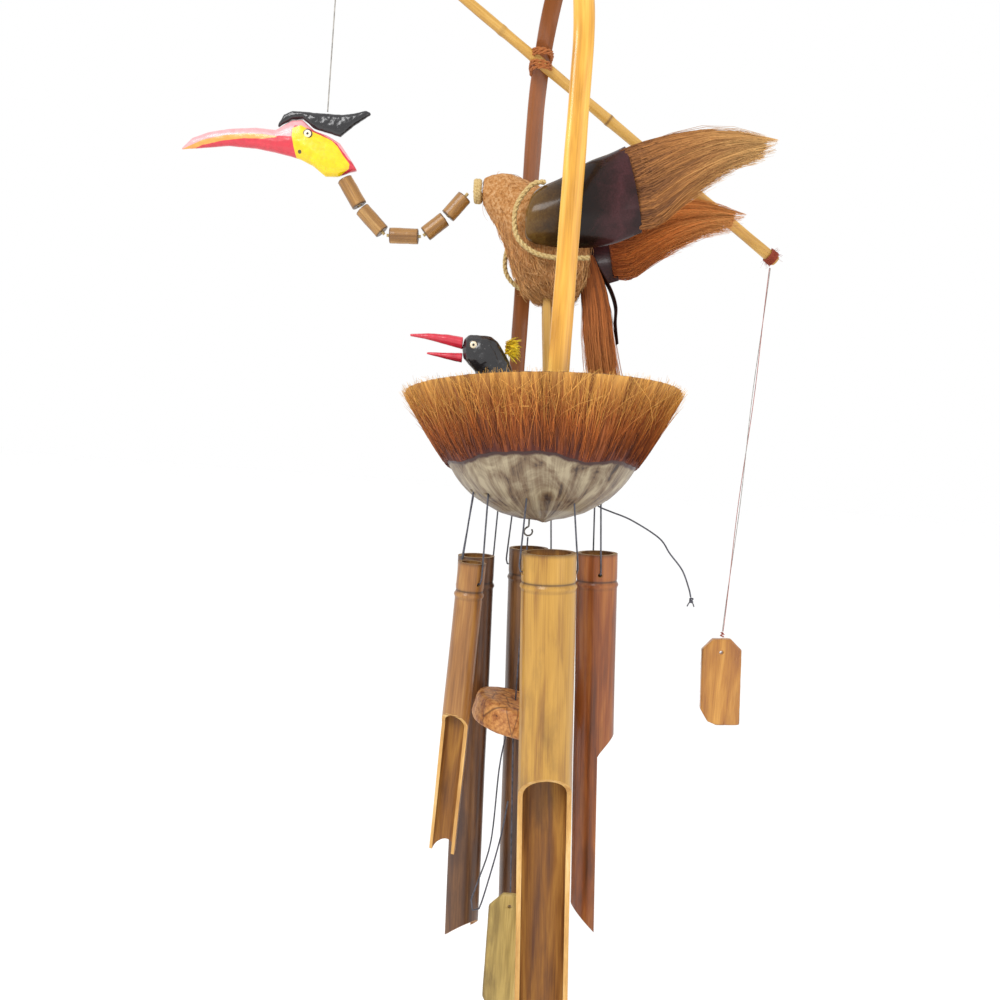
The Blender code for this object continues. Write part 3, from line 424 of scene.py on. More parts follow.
@dataclass(frozen=True)
class Twisted(Finish):
    """Spun or plaited cord: fine fibres wound at a slant."""

    dark: str = "#8A6A34"
    light: str = "#DDC48A"
    thread: float = 0.7

    def dress(self, add: Adder, shader: bpy.types.Node) -> None:
        """Fine fibre noise in colour and relief."""
        spot = add("TexCoord").outputs["Object"]
        fibres = add("TexNoise", {
            "Vector": spot, "Scale": cells(self.thread), "Detail": 4.0, "Roughness": 0.7})
        picked = add("MapRange", {0: fibres, 1: 0.3, 2: 0.7})
        body = add("ValToRGB", {0: picked}, stops=[(0.0, self.dark), (1.0, self.light)])
        raised = add("Bump", {"Height": fibres, "Strength": 0.5, "Distance": 0.3 * MM})
        plug(shader, {"Base Color": body, "Normal": raised})


@dataclass(frozen=True)
class SawnWood(Finish):
    """Slice of a branch, sawn and varnished: rough bark side with dark checks in it."""

    dark: str = "#3A1C0C"
    middle: str = "#A5622A"
    light: str = "#D79A55"

    def dress(self, add: Adder, shader: bpy.types.Node) -> None:
        """Cell-shaped checks over streaky orange wood."""
        spot = add("TexCoord").outputs["Object"]
        lay = add("Mapping", {0: spot, "Scale": cells(16.67, 55.56)})
        checks = add("TexVoronoi", {
            "Vector": lay, "Scale": 1.0, "Randomness": 1.0},
            feature="DISTANCE_TO_EDGE")
        cloud = add("TexNoise", {
            "Vector": spot, "Scale": cells(4.167), "Detail": 5.0, "Roughness": 0.65})
        body = add("ValToRGB", {0: cloud}, stops=[
            (0.3, "#5A3014"), (0.4, self.middle), (0.62, self.light)])
        crack = add("MapRange", {0: checks, 1: 0.006, 2: 0.025, 3: 1.2, 4: 0.0})
        broken = add("Math", {0: crack, 1: cloud}, operation="MULTIPLY")
        toned = add("Mix", {0: broken, 6: body, 7: linear(self.dark)}, data_type="RGBA")
        plug(shader, {"Base Color": toned.outputs[2]})
        raised = add("Bump", {"Height": cloud, "Strength": 0.5, "Distance": 0.8 * MM})
        plug(shader, {"Normal": raised})


@dataclass(frozen=True)
class Plain(Finish):
    """Nylon thread or wire: smooth, with only a slight change of tone along it."""

    dark: str = "#2A2A32"
    light: str = "#4C4C56"
    metallic: float = 0.0

    def dress(self, add: Adder, shader: bpy.types.Node) -> None:
        """A faint change of tone."""
        spot = add("TexCoord").outputs["Object"]
        tone = add("TexNoise", {"Vector": spot, "Scale": cells(3.333)})
        body = add("ValToRGB", {0: tone}, stops=[(0.35, self.dark), (0.65, self.light)])
        plug(shader, {"Base Color": body})
        shader.inputs["Metallic"].default_value = self.metallic


# --- shapes ------------------------------------------------------------------------------
@dataclass
class Shape:
    """Mesh data in millimetres, with named values for the finishes on its points."""

    points: np.ndarray
    faces: list
    values: dict[str, np.ndarray] = field(default_factory=dict)

    def moved(self, place: np.ndarray) -> "Shape":
        """Return the shape moved by a 4 by 4 matrix in millimetres."""
        return Shape(self.points @ place[:3, :3].T + place[:3, 3], self.faces, self.values)

    def mesh(self, name: str, sharp: float = 50.0, tidy: bool = True) -> bpy.types.Mesh:
        """Turn the shape into smooth-shaded mesh data in metres.

        Args:
            name: the mesh's name.
            sharp: angle in degrees past which an edge stays sharp.
            tidy: whether the faces are turned to point out.

        Returns:
            The mesh, with the values as point attributes.
        """
        made = bpy.data.meshes.new(name)
        made.from_pydata((self.points * MM).tolist(), [], self.faces)
        if tidy:
            turn_out(made)
        for word, value in self.values.items():
            set_values(made, word, value)
        made.shade_smooth()
        made.set_sharp_from_angle(angle=math.radians(sharp))
        return made


@contextmanager
def edited(mesh: bpy.types.Mesh) -> Iterator[bmesh.types.BMesh]:
    """Open a mesh for editing and write it back."""
    bm = bmesh.new()
    bm.from_mesh(mesh)
    yield bm
    bm.to_mesh(mesh)
    bm.free()


def turn_out(mesh: bpy.types.Mesh) -> None:
    """Make every face of a closed mesh point out."""
    with edited(mesh) as bm:
        bmesh.ops.recalc_face_normals(bm, faces=bm.faces)


def set_values(mesh: bpy.types.Mesh, word: str, value: np.ndarray) -> None:
    """Store a float or a vector for each point of a mesh.

    Args:
        mesh: the mesh to mark.
        word: the attribute's name.
        value: one number, or one row of three, for each point.
    """
    kind, place = ("FLOAT_VECTOR", "vector") if value.ndim == 2 else ("FLOAT", "value")
    layer = mesh.attributes.get(word) or mesh.attributes.new(word, kind, "POINT")
    layer.data.foreach_set(place, np.ascontiguousarray(value, np.float32).ravel())


def joined(shapes: list[Shape]) -> Shape:
    """Put several shapes together as one.

    Args:
        shapes: shapes that hold the same values.

    Returns:
        One shape with all their points and faces.
    """
    faces, start = [], 0
    for shape in shapes:
        faces += [tuple(i + start for i in face) for face in shape.faces]
        start += len(shape.points)
    words = set.intersection(*[set(s.values) for s in shapes])
    return Shape(np.vstack([s.points for s in shapes]), faces,
                 {w: np.concatenate([s.values[w] for s in shapes]) for w in sorted(words)})


def curve_through(rows: Points, shares: np.ndarray) -> np.ndarray:
    """Read a smooth curve through the given rows.

    Args:
        rows: points, or any rows of numbers, that the curve passes through in turn.
        shares: places along it, where 0 is the first row and 1 the last.

    Returns:
        One row for each share.
    """
    rows = np.asarray(rows, float)
    padded = np.vstack([2 * rows[0] - rows[1], rows, 2 * rows[-1] - rows[-2]])
    place = np.asarray(shares, float) * (len(rows) - 1)
    first = np.clip(place.astype(int), 0, len(rows) - 2)
    t = (place - first)[..., None]
    a, b, c, d = (padded[first + i] for i in range(4))
    return 0.5 * (2 * b + (c - a) * t + (2 * a - 5 * b + 4 * c - d) * t ** 2
                  + (3 * b - a - 3 * c + d) * t ** 3)


def unit(vectors: np.ndarray) -> np.ndarray:
    """Scale vectors to a length of 1."""
    return vectors / np.maximum(np.linalg.norm(vectors, axis=-1, keepdims=True), 1e-9)


def run_along(path: np.ndarray) -> np.ndarray:
    """Length of a path from its start to each of its points."""
    steps = np.linalg.norm(np.diff(path, axis=0), axis=1)
    return np.concatenate([[0.0], np.cumsum(steps)])


def frames_along(path: np.ndarray) -> tuple[np.ndarray, np.ndarray, np.ndarray]:
    """Directions along a path that turn with it and don't twist.

    Args:
        path: points of the path in turn.

    Returns:
        Unit vectors along it, across it and up from it, at each point.
    """
    along = unit(np.gradient(path, axis=0))
    across = np.zeros_like(path)
    rough = (0.0, 0.0, 1.0) if abs(along[0][2]) < 0.9 else (0.0, 1.0, 0.0)
    across[0] = unit(np.cross(along[0], rough))
    for i in range(1, len(path)):
        last = across[i - 1]
        across[i] = unit(last - along[i] * np.dot(last, along[i]))
    return along, across, np.cross(along, across)


def skin(rings: np.ndarray, values: dict[str, np.ndarray] | None = None) -> Shape:
    """Close a row of rings into a solid with a cap on each end.

    Args:
        rings: points as (ring, point, 3).
        values: values as (ring, point) or (ring, point, 3).

    Returns:
        The closed shape.
    """
    count, around = rings.shape[:2]
    faces = [(i * around + k, i * around + (k + 1) % around,
              (i + 1) * around + (k + 1) % around, (i + 1) * around + k)
             for i in range(count - 1) for k in range(around)]
    faces.append(tuple(range(around))[::-1])
    faces.append(tuple(range((count - 1) * around, count * around)))
    flat = {w: v.reshape(count * around, *v.shape[2:]) for w, v in (values or {}).items()}
    return Shape(rings.reshape(-1, 3), faces, flat)


def looped(rings: np.ndarray) -> list[tuple[int, ...]]:
    """Faces between neighbouring rings, and from the last ring back to the first."""
    count, around = rings.shape[:2]
    return [(i * around + k, i * around + (k + 1) % around,
             (i + 1) % count * around + (k + 1) % around, (i + 1) % count * around + k)
            for i in range(count) for k in range(around)]


def box_of(node: str) -> tuple[np.ndarray, np.ndarray]:
    """Lowest and highest corners of a CAD piece in millimetres."""
    low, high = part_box(node)
    return np.array(low) / MM, np.array(high) / MM


def sweep(path: np.ndarray, radius: float | np.ndarray, sides: int = 12) -> Shape:
    """Round rod along a path, with the place on the straightened rod as stem.

    Args:
        path: points of its middle line.
        radius: one radius, or one for each point.
        sides: points round the rod.

    Returns:
        The closed rod.
    """
    path = np.asarray(path, float)
    radii = np.broadcast_to(np.asarray(radius, float), (len(path),))[:, None, None]
    _, across, up = frames_along(path)
    angle = math.tau * np.arange(sides) / sides
    cos, sin = np.cos(angle)[None, :, None], np.sin(angle)[None, :, None]
    rings = path[:, None] + radii * (across[:, None] * cos + up[:, None] * sin)
    run = run_along(path)
    stem = np.concatenate([radii * cos, radii * sin,
                           np.broadcast_to(run[:, None, None], (len(path), sides, 1))], axis=2)
    return skin(rings, {"stem": stem * MM, "joint": np.zeros((len(path), sides))})


def rope(path: np.ndarray, radius: float, plies: int = 3, pitch: float = 7.0,
         flat: float = 0.0, sides: int = 7) -> Shape:
    """Cord of several plies, laid as a twist or as a flat plait.

    Args:
        path: points of its middle line.
        radius: outer radius of the cord.
        plies: how many strands it has.
        pitch: length along it in which a strand comes back to its place.
        flat: 0 for a round twist, 1 for a plait in one plane.
        sides: points round a strand.

    Returns:
        The strands as one shape of closed rods.
    """
    path = np.asarray(path, float)
    run = run_along(path)
    fine = np.linspace(0.0, run[-1], max(8, int(run[-1] / (pitch / 9))))
    dense = np.column_stack([np.interp(fine, run, path[:, i]) for i in range(3)])
    _, across, up = frames_along(dense)
    strand = radius * (0.52 if plies > 1 else 1.0)
    shapes = []
    for ply in range(plies):
        turn = math.tau * (fine / pitch + ply / plies)
        x = (radius - strand) * np.sin(turn) * (1 + 0.35 * flat)
        y = (radius - strand) * np.where(flat > 0, 0.9 * np.sin(2 * turn), np.cos(turn))
        shapes.append(sweep(dense + across * x[:, None] + up * y[:, None], strand, sides))
    return joined(shapes)


def strands(paths: np.ndarray, radius: np.ndarray, shade: np.ndarray,
            along_from: np.ndarray | float = 0.0, along_to: np.ndarray | float = 1.0) -> Shape:
    """Thin tapered three-sided fibres along given paths.

    Args:
        paths: points as (fibre, step, 3).
        radius: radius of each fibre at its root.
        shade: a number from 0 to 1 for each fibre.
        along_from: the finish's place at each root.
        along_to: the finish's place at each tip.

    Returns:
        All the fibres as closed prisms.
    """
    count, steps, _ = paths.shape
    along = unit(np.gradient(paths, axis=1))
    side = unit(np.cross(along, (0.37, 0.61, 0.70)))
    up = np.cross(along, side)
    taper = np.linspace(1.0, 0.3, steps)
    angle = math.tau * np.arange(3) / 3
    ring = (side[:, :, None] * np.cos(angle)[None, None, :, None]
            + up[:, :, None] * np.sin(angle)[None, None, :, None])
    thick = radius[:, None] * taper[None, :]
    points = (paths[:, :, None] + ring * thick[:, :, None, None]).reshape(-1, 3)
    first = (np.arange(count) * steps * 3)[:, None, None]
    step = (np.arange(steps - 1) * 3)[None, :, None]
    k = np.arange(3)[None, None, :]
    low, high = first + step + k, first + step + (k + 1) % 3
    quads = np.stack([low, high, high + 3, low + 3], axis=-1).reshape(-1, 4)
    root = (np.arange(count) * steps * 3)[:, None]
    caps = np.vstack([root + [0, 2, 1], root + (steps - 1) * 3 + [0, 1, 2]])
    share = np.linspace(0.0, 1.0, steps)[None, :]
    start = np.broadcast_to(along_from, (count,))[:, None]
    end = np.broadcast_to(along_to, (count,))[:, None]
    place = np.repeat((start + (end - start) * share).ravel(), 3)
    return Shape(points, quads.tolist() + caps.tolist(),
                 {"along": place, "shade": np.repeat(shade, steps * 3)})


def grown(start: np.ndarray, aim: np.ndarray, length: np.ndarray, droop: float) -> np.ndarray:
    """Paths of short fibres.

    Args:
        start: where each fibre grows.
        aim: the direction that each starts in.
        length: each fibre's length.
        droop: how far its tip sinks.

    Returns:
        Points as (fibre, step, 3).
    """
    t = np.linspace(0.0, 1.0, 5)[None, :, None]
    paths = start[:, None] + aim[:, None] * length[:, None, None] * t
    paths[..., 2] -= droop * t[..., 0] ** 2
    return paths


def clumped(rng: np.random.Generator, place: np.ndarray, clumps: int) -> np.ndarray:
    """Shades that neighbouring fibres partly share.

    Args:
        rng: the random source.
        place: where each fibre grows, from 0 to 1.
        clumps: how many tufts there are along that range.

    Returns:
        A number from 0 to 1 for each fibre.
    """
    tufts = rng.random(clumps)
    own = rng.random(len(place))
    return 0.45 * tufts[(place * clumps).astype(int) % clumps] + 0.55 * own


def rough_noise(spots: np.ndarray, size: float) -> np.ndarray:
    """Smooth noise from -1 to 1 at each point.

    Args:
        spots: points in millimetres.
        size: size of a lump in millimetres.

    Returns:
        One number for each point.
    """
    return np.array([noise.noise(Vector(s / size)) for s in spots])


def rows_of(items: bpy.types.bpy_prop_collection, word: str) -> np.ndarray:
    """A vector of each of a mesh's points or faces, as rows."""
    flat = np.zeros(len(items) * 3, np.float32)
    items.foreach_get(word, flat)
    return flat.reshape(-1, 3).astype(float)


def points_of(mesh: bpy.types.Mesh) -> np.ndarray:
    """Points of a mesh in millimetres."""
    return rows_of(mesh.vertices, "co") / MM


def move_points(mesh: bpy.types.Mesh, spots: np.ndarray) -> None:
    """Put a mesh's points at the given places in millimetres."""
    mesh.vertices.foreach_set("co", (spots * MM).astype(np.float32).ravel())
    mesh.update()


def normals_of(mesh: bpy.types.Mesh) -> np.ndarray:
    """Normals at a mesh's points."""
    return rows_of(mesh.vertices, "normal")


def baked(piece: bpy.types.Object) -> bpy.types.Mesh:
    """Apply an object's modifiers, remove the object and return its mesh."""
    graph = bpy.context.evaluated_depsgraph_get()
    made = bpy.data.meshes.new_from_object(piece.evaluated_get(graph))
    bpy.data.objects.remove(piece)
    return made


def helper(mesh: bpy.types.Mesh) -> bpy.types.Object:
    """Link a mesh as a passing helper object."""
    made = bpy.data.objects.new("helper", mesh)
    bpy.context.scene.collection.objects.link(made)
    return made


def refined(node: str, voxel: float, rounds: int, lump: float = 0.0,
            lump_size: float = 9.0) -> bpy.types.Mesh:
    """Fine, softened copy of a CAD piece.

    Args:
        node: the CAD node to copy.
        voxel: size of the new mesh's cells.
        rounds: how often the new mesh is smoothed.
        lump: height of the unevenness of a hand-made surface.
        lump_size: size of one such lump.

    Returns:
        The new mesh.
    """
    piece = helper(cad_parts[node].data.copy())
    with edited(piece.data) as bm:
        bmesh.ops.remove_doubles(bm, verts=bm.verts, dist=0.001 * MM)
    cells = piece.modifiers.new("cells", "REMESH")
    cells.mode = "VOXEL"
    cells.voxel_size = voxel * MM
    cells.use_smooth_shade = True
    soften = piece.modifiers.new("soften", "SMOOTH")
    soften.factor = 0.5
    soften.iterations = rounds
    made = baked(piece)
    if lump:
        spots = points_of(made)
        rise = lump * rough_noise(spots, lump_size) + 0.4 * lump * rough_noise(spots, lump_size / 3)
        move_points(made, spots + normals_of(made) * rise[:, None])
    made.shade_smooth()
    return made


def cut_away(mesh: bpy.types.Mesh, cutters: list[bpy.types.Mesh]) -> bpy.types.Mesh:
    """Cut solids from a mesh.

    Args:
        mesh: the mesh to cut.
        cutters: closed meshes to take away.

    Returns:
        The cut mesh.
    """
    piece = helper(mesh)
    tools = [helper(c) for c in cutters]
    for tool in tools:
        step = piece.modifiers.new("cut", "BOOLEAN")
        step.operation = "DIFFERENCE"
        step.solver = "EXACT"
        step.object = tool
    made = baked(piece)
    for tool in tools:
        bpy.data.objects.remove(tool)
    return made


def publish(name: str, mesh: bpy.types.Mesh, finishes: list[Finish], body: str,
            replaced: tuple[str, ...] = ()) -> bpy.types.Object:
    """Add a finished piece to the chime.

    Args:
        name: the piece's name.
        mesh: its mesh in place.
        finishes: its finishes, in the order of the faces' material indices.
        body: the CAD body it moves with.
        replaced: the CAD nodes it stands for.

    Returns:
        The new object.
    """
    index = np.zeros(len(mesh.polygons), np.int32)
    mesh.polygons.foreach_get("material_index", index)
    mesh.materials.clear()
    for finish in finishes:
        mesh.materials.append(finish.material())
    mesh.polygons.foreach_set("material_index", index if len(finishes) > 1 else 0 * index)
    piece = bpy.data.objects.new(name, mesh)
    bpy.context.scene.collection.objects.link(piece)
    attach(piece, body)
    if replaced:
        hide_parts(*replaced)
    log.info("%s: %d faces, rides on %s", name, len(mesh.polygons), body)
    return piece


def dress_node(node: str, finish: Finish) -> None:
    """Give a CAD piece whose shape stays a better material."""
    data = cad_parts[node].data
    data.materials.clear()
    data.materials.append(finish.material())
    data.shade_smooth()
    data.set_sharp_from_angle(angle=math.radians(40.0))
    log.info("%s keeps its CAD shape", node)


def placed(*steps: Matrix) -> np.ndarray:
    """Multiply matrices and return the product as an array."""
    product = Matrix.Identity(4)
    for step in steps:
        product = product @ step
    return np.array(product)


def shift(x: float, y: float, z: float) -> Matrix:
    """Matrix that moves by x, y and z."""
    return Matrix.Translation(Vector((x, y, z)))


def turned(degrees: float, axis: str) -> Matrix:
    """Matrix that turns about an axis through the origin."""
    return Matrix.Rotation(math.radians(degrees), 4, axis)


# --- the chime's own finishes --------------------------------------------------------------
# clear yellow with long soft streaks, turning brown over the arch; a satin varnish
GOLD_BAMBOO = Grained("varnished_yellow_bamboo", 0.32, 0.35, dark="#B57A1E", middle="#DDA034",
                      light="#EFC050", scorch="#8A4A18", scorched=0.35, joint_colour="#7A4A1C",
                      brown_tone="#8A4F24", fibre=0.9, streak=60.0, bump=0.12)
# pale tan with faint scorch marks and a dull skin
CANE = Grained("natural_rattan_cane", 0.48, 0.15, dark="#A8752E", middle="#C99A45",
               light="#DDB468", scorch="#7A4A1C", scorched=0.45, joint_colour="#6A4520", bump=0.15)
# mid brown and glossy, with blackened cut ends
BEAD_BAMBOO = Grained("toasted_bamboo_twig", 0.42, 0.3, dark="#6A441C", middle="#9A6C30",
                      light="#C89A58", scorch="#3E2410", scorched=0.4, fibre=0.7, streak=20.0)
# warm ochre, evenly streaked, under varnish
SLAT_BAMBOO = Grained("varnished_bamboo_slat", 0.35, 0.35, dark="#96591C", middle="#B5792A",
                      light="#CF9540", scorch="#6E3C14", scorched=0.4, fibre=0.8, streak=35.0)
# pale yellow-green, dry and speckled by weather
SAIL_BAMBOO = Grained("weathered_bamboo_slat", 0.6, 0.0, dark="#8A7238", middle="#B59A56",
                      light="#CDB478", scorch="#4E3A1C", scorched=0.75, fibre=0.8, streak=30.0)
# bright raw rim that outlines each scoop and each end
CUT_BAMBOO = Grained("freshly_cut_bamboo_edge", 0.65, 0.0, dark="#A87434", middle="#CFA05A",
                     light="#E6C488", scorch="#7A4A20", scorched=0.3, fibre=0.5, streak=6.0)
# inner wall in dark tones: the bamboo's inner grain with painted shade of the hollow behind the
# rims
SHADED_INNER_BAMBOO = Grained("bamboo_inner_wall_painted_shade", 0.6, 0.0, dark="#5E3412", middle="#8C5A20",
                       light="#B07C34", scorch="#341A0A", scorched=0.6, fibre=0.9, streak=30.0)
# rust at the roots and golden at the tips, lively from strand to strand
NEST_FIBRE = Fibrous("combed_coir_of_the_nest", 0.8, root="#5E200C", middle="#B5662A",
                     tip="#EBB85E", spread=0.6)
# soft tan-brown that pales to straw at the tips
WING_FIBRE = Fibrous("combed_coir_of_the_wing", 0.75, root="#74421E", middle="#A87038",
                     tip="#CFA262")
# even orange that sets the far wing apart from the near one
RUST_FIBRE = Fibrous("rust_coir_of_the_far_wing", 0.75, root="#9A4A1A", middle="#C47430",
                     tip="#DB9C58")
# rust with dark gaps, deeper than the far wing
TAIL_FIBRE = Fibrous("rust_coir_of_the_tail", 0.75, root="#8A4A20", middle="#B0642A",
                     tip="#CC8446", spread=0.55)
# crumbly tan cork, darker and stringy at the belly
BODY_HUSK = Husk("rough_coconut_husk", 0.95)
# pale hairs that catch the light on the body
HUSK_FIBRE = Fibrous("loose_husk_fibre", 0.85, root="#9A6230", middle="#C08A50", tip="#D8AC74")
# grey-tan bowl with brown streaks, dark stains and a dull oiled face
NEST_SHELL = ScrapedShell("scraped_coconut_shell", 0.45, 0.1)
# near-black gloss with olive at the root and violet at the edge
WING_SHELL = LacqueredShell("lacquered_coconut_shell", 0.22, 0.14, 0.06)
# dull dark edge of unpolished shell beside the tail
TAIL_SHELL = LacqueredShell("raw_coconut_shell", 0.75, root="#4A2C1C", middle="#2A1810",
                            edge="#3A2018", shine=0.1)
# pale dry straw with a clear twist
STRAW = Twisted("plaited_straw", 0.8, dark="#A8874C", light="#E0C88E")
# flat rust bands round the hoop
RAFFIA = Twisted("dyed_raffia", 0.7, dark="#7E3A16", light="#C27838")
# fuzzy red-brown collar at the ends of the stick
TIE_THREAD = Twisted("red_brown_cotton", 0.8, dark="#6A2412", light="#A8482A", thread=0.4)
# thin blue-black lines with a faint shine
NYLON = Plain("dark_nylon_thread", 0.4, dark="#2E2E36", light="#50505C")
# thread that hardly shows against the light
GREY_NYLON = Plain("pale_nylon_thread", 0.4, dark="#7E7A74", light="#A8A29A")
# faded red line beside the grey one
RED_THREAD = Plain("reddish_nylon_thread", 0.45, dark="#8A4038", light="#B8685A")
# dull grey metal with a soft highlight
WIRE = Plain("annealed_steel_wire", 0.42, dark="#4A4640", light="#75706A", metallic=1.0)
# red bill with a pink top, an orange stripe and a yellow cheek, brushed and chipped
HEAD_PAINT = Paint("enamel_of_the_head", 0.28, 0.3, ground="#D23444", worn=0.25,
                   zones=(("pale", "#F2A2A6"), ("stripe", "#F0A04C"), ("yellow", "#EFCB00"),
                          ("mark", "#5A4420")))
# thick gloss black, rubbed grey on its ridges
BLACK_PAINT = Paint("black_enamel", 0.24, 0.4, ground="#1B1A1D", wear="#8A8A8C", worn=0.35,
                    bump=0.5)
# clear red gloss with small chips
BILL_PAINT = Paint("red_enamel_of_the_bill", 0.3, 0.3, ground="#CE2A3E", worn=0.2)
# dark outline round each eye
EYE_RIM = Paint("dark_enamel_of_the_eye", 0.3, 0.3, ground="#3A2C22")
# cream ring that stands out from the face
EYE_WHITE = Paint("cream_enamel_of_the_eye", 0.3, 0.3, ground="#F6E8C8")
# wet black dot
EYE_PUPIL = Paint("pupil_enamel", 0.2, 0.5, ground="#1A1210")
# bright yellow bristles
TUFT_FIBRE = Fibrous("yellow_dyed_coir", 0.7, root="#B88A00", middle="#EBC800", tip="#FFE84A",
                     spread=0.3)
# orange-tan sawn wood with a few dark checks
BRANCH_WOOD = SawnWood("sawn_branch_disc", 0.55, 0.1)


# --- nest and hoop -------------------------------------------------------------------------
@dataclass
class Nest:
    """Half a coconut husk, scraped to the shell below and combed to coir round its rim."""

    x: float = 7.0
    rim_z: float = -338.0
    radius: float = 88.0
    depth: float = 89.0
    wall: float = 5.0
    taper: float = 0.43
    front_up: float = 7.0
    right_up: float = 3.5
    coir_depth: float = 56.0
    coir_thick: float = 10.0
    strand_count: int = 7200

    @property
    def place(self) -> np.ndarray:
        """Matrix from the bowl's own frame to the chime's."""
        return placed(shift(self.x, 0.0, self.rim_z), turned(-self.right_up, "Y"),
                      turned(-self.front_up, "X"))

    def husk_radius(self, depth: np.ndarray, inset: float = 0.0) -> np.ndarray:
        """Radius of the husk at a depth under its rim, inset from its outer face."""
        share = np.clip(depth / (self.depth - inset), 0.0, 1.0)
        return (self.radius - inset) * (1 - self.taper * share) * np.sqrt(1 - share ** 6)

    def coir_edge(self, bearing: np.ndarray) -> np.ndarray:
        """Depth at which the coir stops: a few wide and uneven arches."""
        turn = bearing + math.pi / 2
        arch = (0.5 + 0.3 * np.cos(2 * turn + 0.8) + 0.18 * np.cos(5 * turn + 1.2)
                + 0.1 * np.cos(9 * turn - 0.5))
        return self.coir_depth - 1.0 - 8.5 * arch + 0.25 * np.sin(31 * bearing)

    def coir_lift(self, depth: np.ndarray) -> np.ndarray:
        """Thickness of the coir at a depth."""
        share = np.clip(1 - depth / (self.coir_depth + 1), 0.0, 1.0)
        return 0.7 + self.coir_thick * share ** 0.85

    def rim_height(self, x: float, y: float) -> float:
        """Height of the rim's plane over a place in plan."""
        normal = self.place[:3, 2]
        return self.rim_z - (normal[0] * (x - self.x) + normal[1] * y) / normal[2]

    def build_shell(self) -> None:
        """Refine the bowl, round it truly and mark its streaks and its stain."""
        mesh = refined("nest_shell", 1.2, 3)
        back = np.linalg.inv(self.place)
        local = points_of(mesh) @ back[:3, :3].T + back[:3, 3]
        depth = -local[:, 2]
        radius = np.hypot(local[:, 0], local[:, 1])
        bearing = np.arctan2(local[:, 1], local[:, 0])
        for inset in (0.0, self.wall):
            true = self.husk_radius(depth, inset)
            near = (np.abs(radius - true) < 0.9) & (depth > 1.5) & (depth < 0.85 * self.depth)
            scale = np.where(near, true / np.maximum(radius, 1.0), 1.0)
            local[:, :2] *= scale[:, None]
        grain = np.column_stack([55 * np.cos(bearing), 55 * np.sin(bearing), depth])
        rough = 0.35 * rough_noise(grain * [1.0, 1.0, 0.25], 5.0) + 0.5 * rough_noise(local, 24.0)
        turn = self.place[:3, :3]
        local += (normals_of(mesh) @ turn) * rough[:, None]
        point = np.exp(-(np.hypot(local[:, 0] - 2.0, local[:, 1]) / 4.5) ** 2)
        local[:, 2] -= 1.7 * point * (depth > self.depth - 2.5)
        move_points(mesh, local @ turn.T + self.place[:3, 3])
        set_values(mesh, "stem", grain * MM)
        below = depth - self.coir_edge(bearing)
        outside = radius > self.husk_radius(depth, self.wall / 2)
        stain = np.clip(1 - below / 3.5, 0.0, 1.0) * outside
        rim = np.clip(1 - depth / 3.0, 0.0, 1.0)
        hook = np.mean(box_of("clapper_hook"), axis=0)
        spots = local @ turn.T + self.place[:3, 3]
        damp = 0.75 * np.exp(-(np.hypot(spots[:, 0] - hook[0] + 4, spots[:, 1] - hook[1] + 6)
                               / 17.0) ** 2)
        set_values(mesh, "stain", np.maximum.reduce([stain, rim, damp]))
        publish("nest_bowl", mesh, [NEST_SHELL], ROOT, ("nest_shell",))

    def build_coir(self) -> None:
        """Mat of coir on the husk and the combed strands over it, tips towards the rim."""
        rng = np.random.default_rng(SEED)
        publish("nest_coir_mat", self.mat().moved(self.place).mesh("nest_coir_mat"),
                [NEST_FIBRE], ROOT, ("nest_coir",))
        count = self.strand_count
        bearing = math.tau * rng.random(count)
        layer = rng.random(count) ** 0.7
        edge = self.coir_edge(bearing)
        root = edge - 34.0 * rng.random(count) ** 1.3
        tip = rng.normal(1.6, 1.5, count) + 22.0 * rng.random(count) ** 2.2
        stray = rng.random(count) < 0.06
        share = np.linspace(0.0, 1.0, 5)[None, :]
        depth = root[:, None] + (tip - root)[:, None] * share
        lift = self.coir_lift(depth) * layer[:, None]
        lift += (stray * rng.uniform(1.0, 5.0, count))[:, None] * share ** 2
        sway = rng.normal(0.0, 0.06, count)[:, None] * share
        sway += (stray * rng.normal(0.0, 0.2, count))[:, None] * share ** 2
        sway += rng.normal(0.0, 0.006, count)[:, None] * np.sin(share * 7)
        radius = self.husk_radius(np.maximum(depth, 0.0)) + 0.3 + lift
        angle = bearing[:, None] + sway
        paths = np.stack([radius * np.cos(angle), radius * np.sin(angle), -depth], axis=-1)
        thick = rng.uniform(0.16, 0.30, count)
        shade = 0.55 * clumped(rng, bearing / math.tau, 260) + 0.45 * rng.random(count)
        start = np.clip((edge - root) / 60.0, 0.0, 1.0) * 0.9
        hair = strands(paths, thick, shade, start, 1.0 + 0 * start)
        publish("nest_coir_strands", hair.moved(self.place).mesh("strands", tidy=False),
                [NEST_FIBRE], ROOT)

    def mat(self) -> Shape:
        """Closed under-layer of matted coir between the husk and the strands."""
        around, down = 360, 16
        bearing = math.tau * np.arange(around) / around
        edge = self.coir_edge(bearing)
        rings = []
        for face in ("in", "out"):
            steps = np.linspace(0.0, 1.0, down)
            for share in steps if face == "out" else steps[::-1]:
                depth = 2.0 + (edge - 2.0) * share
                radius = self.husk_radius(depth) + 0.3
                if face == "out":
                    ridge = 0.5 * np.sin(bearing * 97) + 0.4 * np.sin(bearing * 61 + 1)
                    radius = radius + 0.72 * self.coir_lift(depth) + ridge * (1 - share)
                rings.append(np.column_stack([radius * np.cos(bearing),
                                              radius * np.sin(bearing), -depth]))
        rings = np.array(rings)
        low = -rings[:, :, 2]
        along = np.clip(1 - low / edge[None, :], 0.0, 1.0) * 0.9
        rng = np.random.default_rng(SEED + 1)
        shade = np.broadcast_to(rng.random(around) * 0.6, low.shape)
        return Shape(rings.reshape(-1, 3), looped(rings),
                     {"along": along.ravel(), "shade": shade.ravel().copy()})

